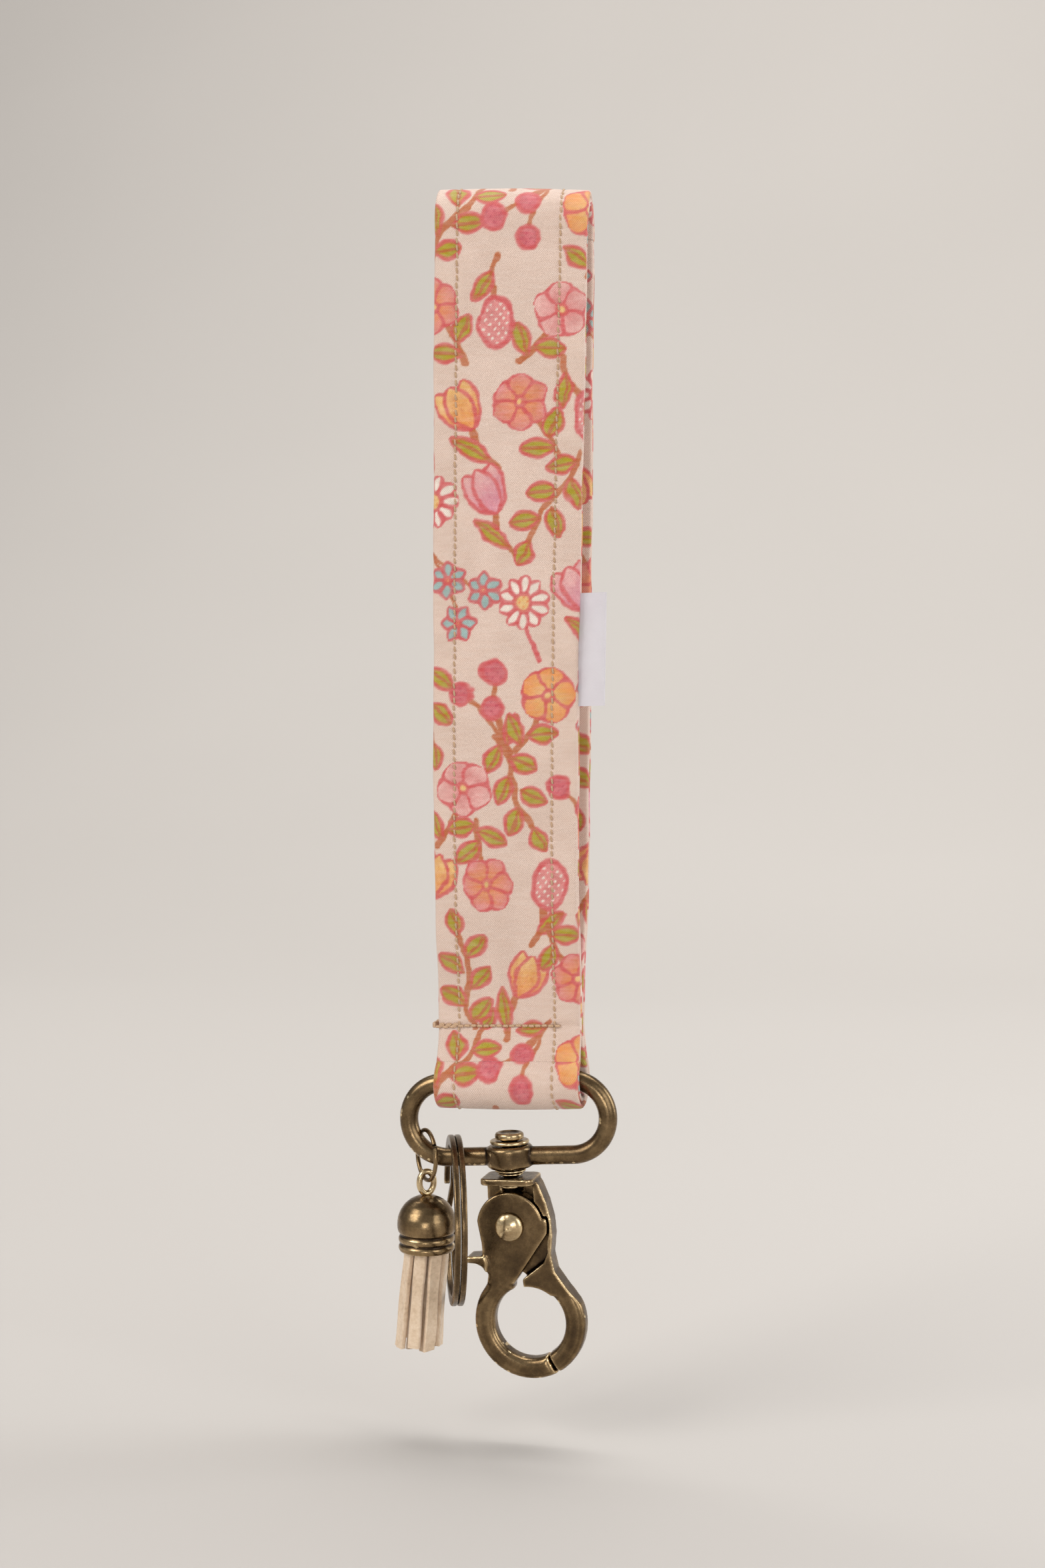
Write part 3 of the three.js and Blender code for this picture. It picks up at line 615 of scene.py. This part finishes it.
def seam_stitches(path):
    """The row across the strap that closes the small loop, back-tacked at its left end."""
    face, t = STRAP_THICKNESS / 2, STITCH_STEPS
    stitches = int((SEAM_RIGHT - SEAM_LEFT) / SEAM_PITCH)
    rings = []
    for front in (True, False):
        s0 = path.s_where(SEAM_Z, front)
        down = 1 if front else -1
        places = [(SEAM_LEFT + (k + 0.5) * SEAM_PITCH, 0.0) for k in range(stitches)]
        places += [(SEAM_LEFT + 0.7 * k, 0.28 if k % 2 else -0.24) for k in range(6)]
        for k, (x0, up) in enumerate(places):
            x = x0 + t * SEAM_PITCH * 0.78
            lift = 0.1 - 0.24 * np.abs(2 * t) ** 4
            s = s0 - down * (up + 0.04 * sin(k * 1.7)) + 0 * t
            x = x * width_factor(SEAM_Z)
            rings.append(thread_run(path.at(s, x, face + lift), SEAM_RADIUS))
        for k in range(3):
            wrap = 2 * t
            x = SEAM_LEFT - 0.15 - 0.5 * np.sqrt(np.clip(1 - wrap**2, 0, 1))
            s = s0 - down * (0.25 * k - 0.25) + 0 * t
            rings.append(thread_run(path.at(s, x, 0.9 * face * wrap), SEAM_RADIUS))
    return merged_runs("seam_stitches", rings)


LABEL = {"top": -70.0, "bottom": -90.0, "out": 4.4, "hidden": 2.6, "y": -6.46, "slant": 2.0}


def side_label():
    """A plain folded tape, two thin layers that meet in a soft fold at the free side."""
    left, right = STRAP_WIDTH / 2 - LABEL["hidden"], STRAP_WIDTH / 2 + LABEL["out"] - 0.25
    apart, step = 0.14, 0.12
    outline = [(left, apart)] + [(x, apart) for x in np.linspace(left + 0.5, right - 0.3, 24)]
    outline += list(arc_points(right - apart, 0, apart, 80, -80, 8))
    outline += [(x, -y) for x, y in outline[24::-1]]
    line = even(outline, step)[0]
    heights = np.linspace(LABEL["bottom"], LABEL["top"], 120)[:, None]
    heights, x, y = np.broadcast_arrays(heights, *line.T)
    free = np.clip((x - STRAP_WIDTH / 2) / LABEL["out"], 0, 1)
    share = (heights - LABEL["bottom"]) / (LABEL["top"] - LABEL["bottom"])
    bow = 0.1 * free * np.sin(share * pi) * np.sign(y)
    z = heights + tan(radians(LABEL["slant"])) * (x - STRAP_WIDTH / 2)
    upright = np.stack([x, LABEL["y"] + y + bow, z], -1)
    piece = mesh_object("side_label_tape", hung(upright), grid_faces(*x.shape))
    cloth_mm = np.stack([heights, np.arange(len(line)) * step + 0 * x, free], -1)
    point_attribute(piece, "cloth_mm", cloth_mm)
    return piece


# ---- hardware

def turned_y(angle):
    return Matrix.Rotation(angle, 4, "Y")


def turned_z(degrees):
    return Matrix.Rotation(radians(degrees), 4, "Z")


FRAME_AT = (
    Matrix.Translation((FRAME_OFFSET_X, 0, UPPER_BAR_Z)) @ turned_y(-FRAME_ROLL)
    @ Matrix.Translation((0, 0, -FRAME_DROP))
)
HOOK_AT = FRAME_AT @ turned_y(FRAME_ROLL - HOOK_ROLL)
UPRIGHT_AT = FRAME_AT @ turned_y(FRAME_ROLL)


def upright_height(z):
    """A height of the part, given in metres, as millimetres in the upright frame."""
    return (UPRIGHT_AT.inverted() @ Vector((0, 0, z / MM))).z


def moved(points, matrix):
    m = np.array(matrix)
    return np.asarray(points, float) @ m[:3, :3].T + m[:3, 3]


def rounded(profile, times=2):
    """A closed outline with its corners cut round, each cut keeping a point near the old corner."""
    p = np.asarray(profile, float)
    for _ in range(times):
        ahead = np.roll(p, -1, 0)
        length = np.linalg.norm(ahead - p, axis=1)[:, None]
        cut = np.minimum(0.25, 0.16 / np.maximum(length, 1e-6))
        p = np.stack([p + (ahead - p) * cut, ahead - (ahead - p) * cut], 1).reshape(-1, 2)
    return p


def circle(radius, steps):
    angles = np.linspace(0, 2 * pi, steps, endpoint=False)
    return np.stack([radius * np.cos(angles), radius * np.sin(angles)], 1)


def lathe(profile, matrix, steps=96):
    """Points and faces of a ring or disc turned from a closed [radius, height] outline."""
    radius, height = np.maximum(profile[:, 0], 0.004), profile[:, 1]
    x, y = circle(1.0, steps).T[..., None]
    points = np.stack([radius * x, radius * y, height + 0 * x], -1)
    faces = grid_faces(steps, len(profile), rows_closed=True, columns_closed=True)
    return moved(points.reshape(-1, 3), matrix), faces


def wire(line, section, closed, up):
    """Points and faces of a section [side, up] carried along a line."""
    ahead = directions(line, closed)
    side = np.cross(ahead, up)
    side /= np.linalg.norm(side, axis=1)[:, None]
    high = np.cross(side, ahead)
    points = line[:, None] + section[None, :, :1] * side[:, None] + section[None, :, 1:] * high[:, None]
    if closed:
        faces = grid_faces(len(line), len(section), rows_closed=True, columns_closed=True)
    else:
        faces = capped_faces(len(line), len(section))
    return points, faces


def bar_section(width, thickness, corner, steps):
    """The section of a flat wire or strip, a rectangle with round corners, as [side, up]."""
    inner = np.array([width, thickness]) / 2 - corner
    corners = []
    for start, signs in ((0, (1, 1)), (90, (-1, 1)), (180, (-1, -1)), (270, (1, -1))):
        corners.append(inner * signs + arc_points(0, 0, corner, start, start + 90, steps))
    return np.vstack(corners)


CAST_VOXEL = 0.17  # how finely a cast piece is remeshed, mm


def cast(piece, smoothing):
    """Melts a piece into one cast body with softly rounded edges."""
    remesh = piece.modifiers.new("melt", "REMESH")
    remesh.mode = "VOXEL"
    remesh.voxel_size = CAST_VOXEL * MM
    remesh.use_smooth_shade = True
    smooth = piece.modifiers.new("soften", "SMOOTH")
    smooth.factor = 0.5
    smooth.iterations = smoothing
    bpy.context.view_layer.update()
    evaluated = piece.evaluated_get(bpy.context.evaluated_depsgraph_get())
    mesh = bpy.data.meshes.new_from_object(evaluated)
    piece.modifiers.clear()
    piece.data = mesh
    return piece


def from_node(name, node, smoothing):
    """A finer body with the shape of a CAD node."""
    piece = bpy.data.objects.new(name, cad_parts[node].data.copy())
    bpy.context.scene.collection.objects.link(piece)
    return cast(piece, smoothing)


def oval_frame():
    """The frame's round wire, which starts and ends inside the barrel of its lower bar."""
    a, r = HALF_STRAIGHT, END_RADIUS
    gap = 3.0
    lower_right = [(x, 0.0) for x in np.linspace(gap, a, 12)]
    right = arc_points(a, r, r, -90, 90, 30)
    upper = [(x, 2 * r) for x in np.linspace(a, -a, 30)]
    left = arc_points(-a, r, r, 90, 270, 30)
    lower_left = [(x, 0.0) for x in np.linspace(-a, -gap, 12)]
    outline = np.vstack([lower_right, right[1:-1], upper, left[1:-1], lower_left])
    line = np.insert(outline, 1, 0.0, axis=1)
    points, faces = wire(line, circle(TUBE, 28), False, (0, 1, 0))
    tube = mesh_object("frame_tube", moved(points, FRAME_AT), faces)
    profile = [(1.72, -2.1), (3.7, -2.1), (4.28, -1.6), (4.28, 1.6), (3.7, 2.1), (1.72, 2.1)]
    barrel = mesh_object("frame_barrel", *lathe(rounded(profile, 3), FRAME_AT))
    return cast(joined("oval_frame_cast", [tube, barrel]), 7)


def turned_piece(name, profile, matrix):
    return mesh_object(name, *lathe(rounded(profile), matrix))


def swivel():
    post = [
        (0, -5.75), (1.9, -5.75), (2.2, -5.5), (2.2, -5.12), (1.2, -5.12), (1.2, -3.35), (2.3, -3.35),
        (2.3, -2.97), (1.4, -2.97), (1.4, 3.22), (2.65, 3.22), (2.65, 4.05), (2.35, 4.38), (1.95, 4.38),
        (1.5, 4.1), (0, 4.0),
    ]
    top = [(1.72, 2.37), (3.6, 2.37), (3.6, 2.98), (1.72, 2.98)]
    bottom = [(1.72, -2.74), (2.85, -2.74), (2.85, -2.32), (1.72, -2.32)]
    return [
        (turned_piece("swivel_post_turned", post, HOOK_AT), "swivel_post"),
        (turned_piece("swivel_washer_upper", top, HOOK_AT), "swivel_washer_top"),
        (turned_piece("swivel_washer_lower", bottom, HOOK_AT), "swivel_washer_bottom"),
    ]


def pivot_rivet():
    profile = [
        (0, -3.6), (0.9, -3.52), (1.7, -3.3), (2.3, -3.0), (2.58, -2.7), (2.58, -2.42), (1.2, -2.42),
        (1.2, 1.82), (1.98, 1.82), (1.98, 2.04), (0, 2.04),
    ]
    front_to_back = Matrix.Rotation(-pi / 2, 4, "X")
    pivot_at = HOOK_AT @ Matrix.Translation((0, 0, PIVOT_Z)) @ front_to_back
    return turned_piece("pivot_rivet_domed", profile, pivot_at)


SPLIT_RING = {"x": -10.4, "radius": 15.5, "width": 1.8, "coil": 1.05, "between": 0.15, "yaw": 20.0}
COIL_DEGREES = np.arange(16, 704.1, 2.0)  # nearly two turns of the wire
JUMP_RING = {"x": -15.9, "radius": 5.0, "wire": 0.4, "yaw": 38.0}
JUMP_START, JUMP_SWEEP = 152, 356  # degrees; the rest is its gap


def split_ring():
    """Two flat coils of one wire, which steps from the first layer to the second."""
    r = SPLIT_RING
    low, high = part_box("split_ring")
    centre_z = upright_height((low.z + high.z) / 2)
    layer = (r["coil"] + r["between"]) / 2
    side = np.interp(COIL_DEGREES, [346, 374], [-layer, layer])[:, None]
    section = bar_section(r["width"], r["coil"], 0.3, 5)
    angle = np.radians(COIL_DEGREES)[:, None]
    out = r["radius"] - r["width"] / 2 + section[:, 0]
    points = np.stack([side + section[:, 1], out * np.cos(angle), out * np.sin(angle)], -1)
    *faces, first, last = capped_faces(len(angle), len(section))
    faces += [first[::-1], last[::-1]]  # wound with the quads
    matrix = UPRIGHT_AT @ Matrix.Translation((r["x"], 0, centre_z)) @ turned_z(r["yaw"])
    return mesh_object("split_ring_coils", moved(points, matrix), faces)


def jump_ring():
    r = JUMP_RING
    low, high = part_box("jump_ring")
    centre_z = (low.z + high.z) / 2 / MM
    angle = np.radians(JUMP_START + np.linspace(0, JUMP_SWEEP, 120))
    middle = r["radius"] - r["wire"]
    line = np.stack([0 * angle, middle * np.cos(angle), middle * np.sin(angle)], 1)
    points, faces = wire(line, circle(r["wire"], 16), False, (1, 0, 0))
    centre_x = (UPRIGHT_AT @ Vector((r["x"], 0, 0))).x
    matrix = Matrix.Translation((centre_x, 0, centre_z)) @ turned_z(r["yaw"])
    return mesh_object("jump_ring_wire", moved(points, matrix), faces)


# ---- tassel

TASSEL = {
    "x": -15.9, "width": 2.2, "thickness": 1.0, "length": 18.4,
    "lean": -1.5, "splay": 0.6, "tucked_in": 2.0,
}
EYE = {"half_width": 1.4, "half_height": 2.03, "height": 12.6, "wire": 0.5684}


def tassel_at(bottom):
    """The tassel's frame, at the middle of its cap's mouth."""
    return UPRIGHT_AT @ Matrix.Translation((TASSEL["x"], 0, bottom))


def tassel_cap(bottom):
    profile = [
        (4.62, 0.02), (4.95, 0.02), (5.2, 0.5), (5.2, 1.05), (4.8, 1.5), (5.2, 1.95), (5.2, 2.65),
        (4.76, 3.1), (5.2, 3.5), (5.43, 4.2), (5.45, 5.2), (5.3, 6.3), (4.85, 7.5), (4.1, 8.6),
        (3.0, 9.5), (1.7, 10.1), (0.7, 10.26), (0, 10.3), (0, 8.6), (3.4, 7.6), (4.62, 5.6),
    ]
    dome = turned_piece("cap_dome", profile, tassel_at(bottom))
    x, z = (circle(1.0, 64) * (EYE["half_width"], EYE["half_height"])).T
    line = np.stack([x, 0 * x, z + EYE["height"]], 1)
    points, faces = wire(line, circle(EYE["wire"], 16), True, (0, 1, 0))
    eye = mesh_object("cap_eye", moved(points, tassel_at(bottom) @ turned_z(JUMP_RING["yaw"])), faces)
    return joined("tassel_cap_bell", [dome, eye])


def tassel_core(bottom):
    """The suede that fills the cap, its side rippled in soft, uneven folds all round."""
    profile = [(0, 2.3), (3.8, 2.3), (4.08, 2.7), (4.08, 4.9), (2.6, 6.2), (0, 6.7)]
    points, faces = lathe(rounded(profile), Matrix.Identity(4), steps=120)
    angle = np.arctan2(points[:, 1], points[:, 0])
    folds = 1 - 0.035 * (1 + np.cos(11 * angle + 0.7 * np.sin(3 * angle)))
    points[:, :2] *= folds[:, None]
    return mesh_object("tassel_core_bundle", moved(points, tassel_at(bottom)), faces)


def suede_strip(number, bottom, angle, at, length):
    """One cut strip of suede, a little curled and slanted where it was snipped."""
    t = TASSEL
    rng = np.random.default_rng(number)
    phase, curl, slant = rng.uniform(0, 6.28), rng.uniform(-0.12, 0.12), rng.uniform(-0.25, 0.25)
    outward = np.array([cos(angle), sin(angle)])
    sideways = np.array([-outward[1], outward[0]])
    section = even(bar_section(t["width"], t["thickness"], 0.22, 3), 0.12, closed=True)[0]
    side, up = section.T
    drop = np.arange(0, length + t["tucked_in"] + 0.01, 0.2)[:, None]
    below = np.maximum(0.0, drop - t["tucked_in"]) / length
    spread = at + t["splay"] * below * max(0.0, -outward[0])
    wide = side * (1 - 0.05 * np.sin(9 * below + phase)) + 0.1 * below * np.sin(5 * below + phase)
    thick = up + 0.16 * below * np.sin(6 * below + phase) + curl * (2 * side / t["width"]) ** 2
    flat = (spread + thick)[..., None] * outward + wide[..., None] * sideways
    z = bottom + t["tucked_in"] - drop + slant * smoothstep(0.9, 1.0, below) * side
    points = np.dstack([t["x"] + t["lean"] * below + flat[..., 0], flat[..., 1], z])
    return mesh_object(f"suede_strip_{number}", moved(points, UPRIGHT_AT), capped_faces(*wide.shape))


def suede_strips(bottom):
    """Eight strips in an outer ring and three in the middle."""
    strips = []
    for count, at, first in ((8, 3.5, 44), (3, 1.5, 90)):
        for i in range(count):
            length = TASSEL["length"] - 1.1 * ((i * 3) % count) / count
            angle = radians(first + 360 * i / count)
            strips.append(suede_strip(len(strips) + 1, bottom, angle, at, length))
    return strips


# ---- materials

class Nodes:
    """A material under construction."""

    def __init__(self, name):
        self.material = bpy.data.materials.new(name)
        self.material.use_nodes = True
        self.tree = self.material.node_tree
        self.shader = self.tree.nodes["Principled BSDF"]

    def add(self, kind, inputs=None, **settings):
        node = self.tree.nodes.new(kind)
        for key, value in settings.items():
            setattr(node, key, value)
        for key, value in (inputs or {}).items():
            self.feed(node.inputs[key], value)
        return node

    def feed(self, socket, value):
        """Links the socket to another node's output, or sets its value."""
        if isinstance(value, bpy.types.NodeSocket):
            self.tree.links.new(value, socket)
        else:
            socket.default_value = value

    def attribute(self, name, output="Vector"):
        return self.add("ShaderNodeAttribute", attribute_name=name).outputs[output]

    def math(self, operation, a, b=0.0, c=0.0):
        return self.add("ShaderNodeMath", {0: a, 1: b, 2: c}, operation=operation).outputs[0]

    def noise(self, scale, detail=3.0, vector=None, roughness=0.55):
        vector = vector or self.add("ShaderNodeTexCoord").outputs["Object"]
        inputs = {"Scale": scale, "Detail": detail, "Roughness": roughness, "Vector": vector}
        return self.add("ShaderNodeTexNoise", inputs).outputs["Fac"]

    def ramp(self, factor, *stops):
        node = self.add("ShaderNodeValToRGB", {"Fac": factor})
        while len(node.color_ramp.elements) < len(stops):
            node.color_ramp.elements.new(0.5)
        for element, (place, colour) in zip(node.color_ramp.elements, stops):
            element.position = place
            element.color = (*linear(colour), 1.0)
        return node.outputs["Color"]

    def spread(self, factor, low, high, to_low, to_high):
        inputs = {"Value": factor, 1: low, 2: high, 3: to_low, 4: to_high}
        return self.add("ShaderNodeMapRange", inputs).outputs[0]

    def mix(self, factor, a, b):
        """One colour over another; each is another node's output or a screen colour."""
        a, b = (c if isinstance(c, bpy.types.NodeSocket) else (*linear(c), 1.0) for c in (a, b))
        return self.add("ShaderNodeMix", {0: factor, 6: a, 7: b}, data_type="RGBA").outputs[2]

    def bump(self, height, distance, strength, under=None):
        inputs = {"Height": height, "Distance": distance, "Strength": strength}
        if under is not None:
            inputs["Normal"] = under
        return self.add("ShaderNodeBump", inputs).outputs["Normal"]

    def finish(self, **sockets):
        for key, value in sockets.items():
            self.feed(self.shader.inputs[key.replace("_", " ").title().replace("Ior", "IOR")], value)
        return self.material


def weave(m, along_mm, across_mm):
    """The crossing threads of a plain weave, as a pattern from 0 to 1."""
    place = m.add("ShaderNodeSeparateXYZ", {0: m.attribute("cloth_mm")})
    s = m.math("MULTIPLY", place.outputs[0], 2 * pi / along_mm)
    t = m.math("MULTIPLY", place.outputs[1], 2 * pi / across_mm)
    checks = m.math("MULTIPLY", m.math("SINE", s), m.math("SINE", t))
    return m.math("MULTIPLY_ADD", checks, 0.5, 0.5)


def cotton():
    m = Nodes("printed_cotton_cloth")
    threads = weave(m, 0.43, 0.37)
    stretch = {0: m.attribute("cloth_mm"), 1: (0.0016, 0.0003, 0)}
    along_yarn = m.add("ShaderNodeVectorMath", stretch, operation="MULTIPLY").outputs[0]
    slubs = m.noise(900, 2.0, along_yarn)
    soil = m.noise(60, 3.0)
    # Painted shade: the hollows between the woven threads are darkened towards dark brown.
    cloth_colour = m.mix(m.spread(threads, 0, 1, 0.3, 0.0), m.attribute("print", "Color"), (150, 112, 96))
    cloth_colour = m.mix(m.spread(slubs, 0.35, 0.75, 0.0, 0.12), cloth_colour, (252, 244, 236))
    cloth_colour = m.mix(m.spread(soil, 0.4, 0.8, 0.0, 0.06), cloth_colour, (170, 145, 125))
    normal = m.bump(threads, 0.0001, 0.8)
    normal = m.bump(m.noise(350, 2.0), 0.00018, 0.35, normal)
    return m.finish(base_color=cloth_colour, roughness=0.93, normal=normal,
                    sheen_weight=0.25, sheen_roughness=0.5, specular_ior_level=0.25)


def plain_cloth(name, light, dark):
    m = Nodes(name)
    fibres = m.noise(900, 4.0)
    return m.finish(base_color=m.ramp(fibres, (0.3, dark), (0.7, light)), roughness=0.95,
                    normal=m.bump(fibres, 0.0001, 0.5), sheen_weight=0.2)


def sewing_thread(name, light, dark):
    m = Nodes(name)
    place = m.add("ShaderNodeSeparateXYZ", {0: m.attribute("thread_uv")})
    twist = m.math("MULTIPLY_ADD", place.outputs[0], 5.0, m.math("MULTIPLY", place.outputs[1], 2.0))
    ply = m.math("MULTIPLY_ADD", m.math("SINE", m.math("MULTIPLY", twist, 2 * pi)), 0.5, 0.5)
    # Painted shade: the dark stripes along the twist stand for the grooves between the plies; the noise
    # adds random tone.
    shade = m.math("MULTIPLY_ADD", ply, 0.7, m.math("MULTIPLY", m.noise(700, 2.0), 0.3))
    return m.finish(base_color=m.ramp(shade, (0.1, dark), (0.75, light)), roughness=0.7,
                    normal=m.bump(ply, 0.00005, 0.6), sheen_weight=0.2)


def label_tape():
    m = Nodes("plain_label_tape")
    ribs = weave(m, 0.5, 0.24)
    cloudy = m.noise(220, 3.0)
    tape = m.mix(m.spread(cloudy, 0.35, 0.75, 0.0, 0.35), (214, 209, 213), (198, 190, 196))
    # Painted shade: the hollows between the tape's ribs are darkened.
    tape = m.mix(m.spread(ribs, 0, 1, 0.14, 0), tape, (190, 180, 190))
    return m.finish(base_color=tape, roughness=0.62, normal=m.bump(ribs, 0.00004, 0.5),
                    sheen_weight=0.15, specular_ior_level=0.4)


def antique_brass(name, polish=0.0):
    """Cast brass, dark in its hollows and worn bright on its edges."""
    m = Nodes(name)
    edges = m.add("ShaderNodeNewGeometry").outputs["Pointiness"]
    patches = m.noise(240, 5.0, roughness=0.65)
    fine = m.noise(1500, 4.0, roughness=0.7)
    patches = m.math("MULTIPLY_ADD", patches, 0.9, polish - 0.42)
    worn = m.math("ADD", m.spread(edges, 0.485, 0.545, 0.0, 1.0), patches)
    metal = m.ramp(worn, (0.0, (55, 44, 35)), (0.3, (103, 84, 60)), (0.62, (154, 129, 94)),
                   (1.0, (236, 212, 168)))
    metal = m.mix(m.spread(fine, 0.5, 0.75, 0.0, 0.4), metal, (66, 52, 38))
    rough = m.math("ADD", m.spread(worn, 0, 1, 0.3, 0.2), m.spread(fine, 0.35, 0.75, -0.04, 0.1))
    normal = m.bump(m.noise(1800, 4.0, roughness=0.7), 0.00004, 0.35)
    normal = m.bump(m.noise(330, 3.0), 0.00012, 0.3, normal)
    return m.finish(base_color=metal, metallic=1.0, roughness=rough, normal=normal)


def spring_wire():
    m = Nodes("spring_steel_wire")
    streaks = m.noise(1200, 3.0)
    return m.finish(base_color=m.ramp(streaks, (0.3, (120, 120, 122)), (0.7, (176, 176, 178))),
                    metallic=1.0, roughness=m.spread(streaks, 0.3, 0.7, 0.22, 0.4))


def suede():
    m = Nodes("tan_suede")
    nap = m.noise(1300, 5.0, roughness=0.7)
    brushed = m.noise(160, 3.0)
    colour = m.ramp(m.math("MULTIPLY_ADD", nap, 0.5, m.math("MULTIPLY", brushed, 0.5)),
                    (0.28, (176, 148, 120)), (0.5, (218, 193, 165)), (0.74, (241, 222, 200)))
    normal = m.bump(nap, 0.00016, 0.75)
    return m.finish(base_color=colour, roughness=0.96, normal=normal, specular_ior_level=0.15,
                    sheen_weight=0.5, sheen_roughness=0.4)


# ---- stage, light and camera

def stage_material():
    m = Nodes("pale_floor")
    grain = m.noise(2.0, 2.0)
    pale = m.ramp(grain, (0.3, (188, 183, 178)), (0.7, (191, 186, 181)))
    return m.finish(base_color=pale, roughness=0.9)


def backdrop(floor_z):
    """A floor that curves up into a plain back wall, as points [y, z] in metres."""
    far, bend_at, bend, wall_top = 12.0, 0.6, 1.4, 4.0
    line = [(-far, 0.0), (bend_at, 0.0)]
    for a in np.linspace(0.05, pi / 2, 30):
        line.append((bend_at + bend * sin(a), bend - bend * cos(a)))
    line.append((bend_at + bend, wall_top))
    points = [(x, y, z + floor_z) for y, z in line for x in (-far, far)]
    piece = mesh_object("floor_and_backdrop", np.array(points) / MM, grid_faces(len(line), 2))
    piece.data.materials.append(stage_material())


def softbox(name, place, aim, size, watts, colour=(1, 1, 1)):
    light = bpy.data.lights.new(name, "AREA")
    light.shape = "RECTANGLE"
    light.size, light.size_y = size
    light.energy = watts
    light.color = colour
    lamp = bpy.data.objects.new(name, light)
    lamp.location = place
    lamp.rotation_euler = (Vector(aim) - Vector(place)).to_track_quat("-Z", "Y").to_euler()
    bpy.context.scene.collection.objects.link(lamp)


def lights():
    middle = (0, 0, -0.12)
    softbox("key_light", (-0.7, -0.75, 0.55), middle, (0.7, 0.7), 7.8, (1.0, 0.985, 0.96))
    softbox("fill_light", (0.85, -0.6, 0.2), middle, (0.6, 0.7), 3.3, (0.97, 0.985, 1.0))
    softbox("rim_light", (0.75, 0.3, 0.12), middle, (0.3, 0.6), 2.6, (0.93, 0.97, 1.0))
    softbox("top_light", (0.1, 0.25, 0.75), middle, (0.8, 0.5), 3.2)
    softbox("low_front_light", (0.15, -0.8, -0.12), (0, 0, -0.18), (0.25, 0.12), 0.8)
    softbox("backdrop_light", (0, 0.45, 1.3), (0, 2.0, 0.3), (2.2, 0.5), 26, (1.0, 0.99, 0.97))
    world = bpy.data.worlds.new("studio")
    bpy.context.scene.world = world
    world.use_nodes = True
    sky = world.node_tree.nodes["Background"].inputs
    sky["Color"].default_value = (0.96, 0.95, 0.94, 1)
    sky["Strength"].default_value = 0.42


CAMERA_AT = (0.0976, -0.3822, -0.0878)
CAMERA_YAW = radians(14.14)
CAMERA_PITCH = radians(2.37)


def camera():
    lens = bpy.data.cameras.new("main_camera")
    lens.sensor_fit = "VERTICAL"
    lens.sensor_height = 36.0
    lens.lens = 50.0
    lens.clip_start = 0.01
    view = bpy.data.objects.new("main_camera", lens)
    view.location = CAMERA_AT
    view.rotation_euler = (pi / 2 - CAMERA_PITCH, 0, CAMERA_YAW)
    bpy.context.scene.collection.objects.link(view)
    bpy.context.scene.camera = view
    bpy.context.scene.view_settings.view_transform = "Standard"


# ---- assembly

def place(piece, material, body, slot, *nodes):
    piece.data.materials.clear()
    piece.data.materials.append(material)
    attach(piece, body)
    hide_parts(*nodes)


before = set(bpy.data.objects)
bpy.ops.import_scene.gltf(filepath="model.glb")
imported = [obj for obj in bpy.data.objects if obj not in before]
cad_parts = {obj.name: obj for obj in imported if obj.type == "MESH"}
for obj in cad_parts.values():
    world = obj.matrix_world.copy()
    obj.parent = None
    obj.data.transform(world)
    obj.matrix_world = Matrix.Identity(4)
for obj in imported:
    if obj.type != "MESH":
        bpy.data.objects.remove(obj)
cad_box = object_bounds()
camera()
lights()
backdrop(cad_box[0][2] - 0.012)

brass, hide = antique_brass("antique_brass_cast"), suede()
dark_brass = antique_brass("antique_brass_dark", -0.3)
polished_brass = antique_brass("antique_brass_polished", 0.4)
taupe = sewing_thread("taupe_sewing_thread", (214, 180, 146), (166, 130, 98))

strap_path = StrapPath(0.22)
cloth = strap_cloth(strap_path, draw_cloth())
place(cloth, cotton(), "strap", "printed_cotton", "strap_fabric")
band = strap_core(strap_path)
place(band, plain_cloth("interfacing_felt", (240, 238, 232), (214, 210, 202)), "strap", "interfacing",
      "strap_interfacing")
for side, row_x in (("left", LEFT_ROW_X), ("right", RIGHT_ROW_X)):
    row = stitch_rows(f"topstitches_{side}", strap_path, row_x)
    place(row, taupe, "strap", "thread", f"topstitch_{side}")
place(seam_stitches(strap_path), taupe, "strap", "thread", "cross_stitch")
tape = side_label()
place(tape, label_tape(), "strap", "label_tape", "side_label")

place(oval_frame(), brass, "frame", "antique_brass", "oval_frame")
for piece, node in swivel():
    place(piece, brass, "hook", "antique_brass", node)
place(from_node("hook_body_cast", "hook_body", 16), brass, "hook", "antique_brass", "hook_body")
place(from_node("trigger_cast", "trigger", 22), brass, "trigger_arm", "antique_brass", "trigger")
place(pivot_rivet(), polished_brass, "hook", "antique_brass", "pivot_rivet")
place(split_ring(), dark_brass, "key_ring", "antique_brass", "split_ring")
place(jump_ring(), dark_brass, "tassel_ring", "antique_brass", "jump_ring")

mouth = upright_height(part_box("tassel_cap")[0].z)
place(tassel_cap(mouth), brass, "tassel", "antique_brass", "tassel_cap")
place(tassel_core(mouth), hide, "tassel", "suede", "tassel_core")
for number, strip in enumerate(suede_strips(mouth), 1):
    place(strip, hide, "tassel", "suede", f"tassel_strip_{number}")

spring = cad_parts["trigger_spring"]
for material_slot in spring.material_slots:
    material_slot.material = spring_wire()
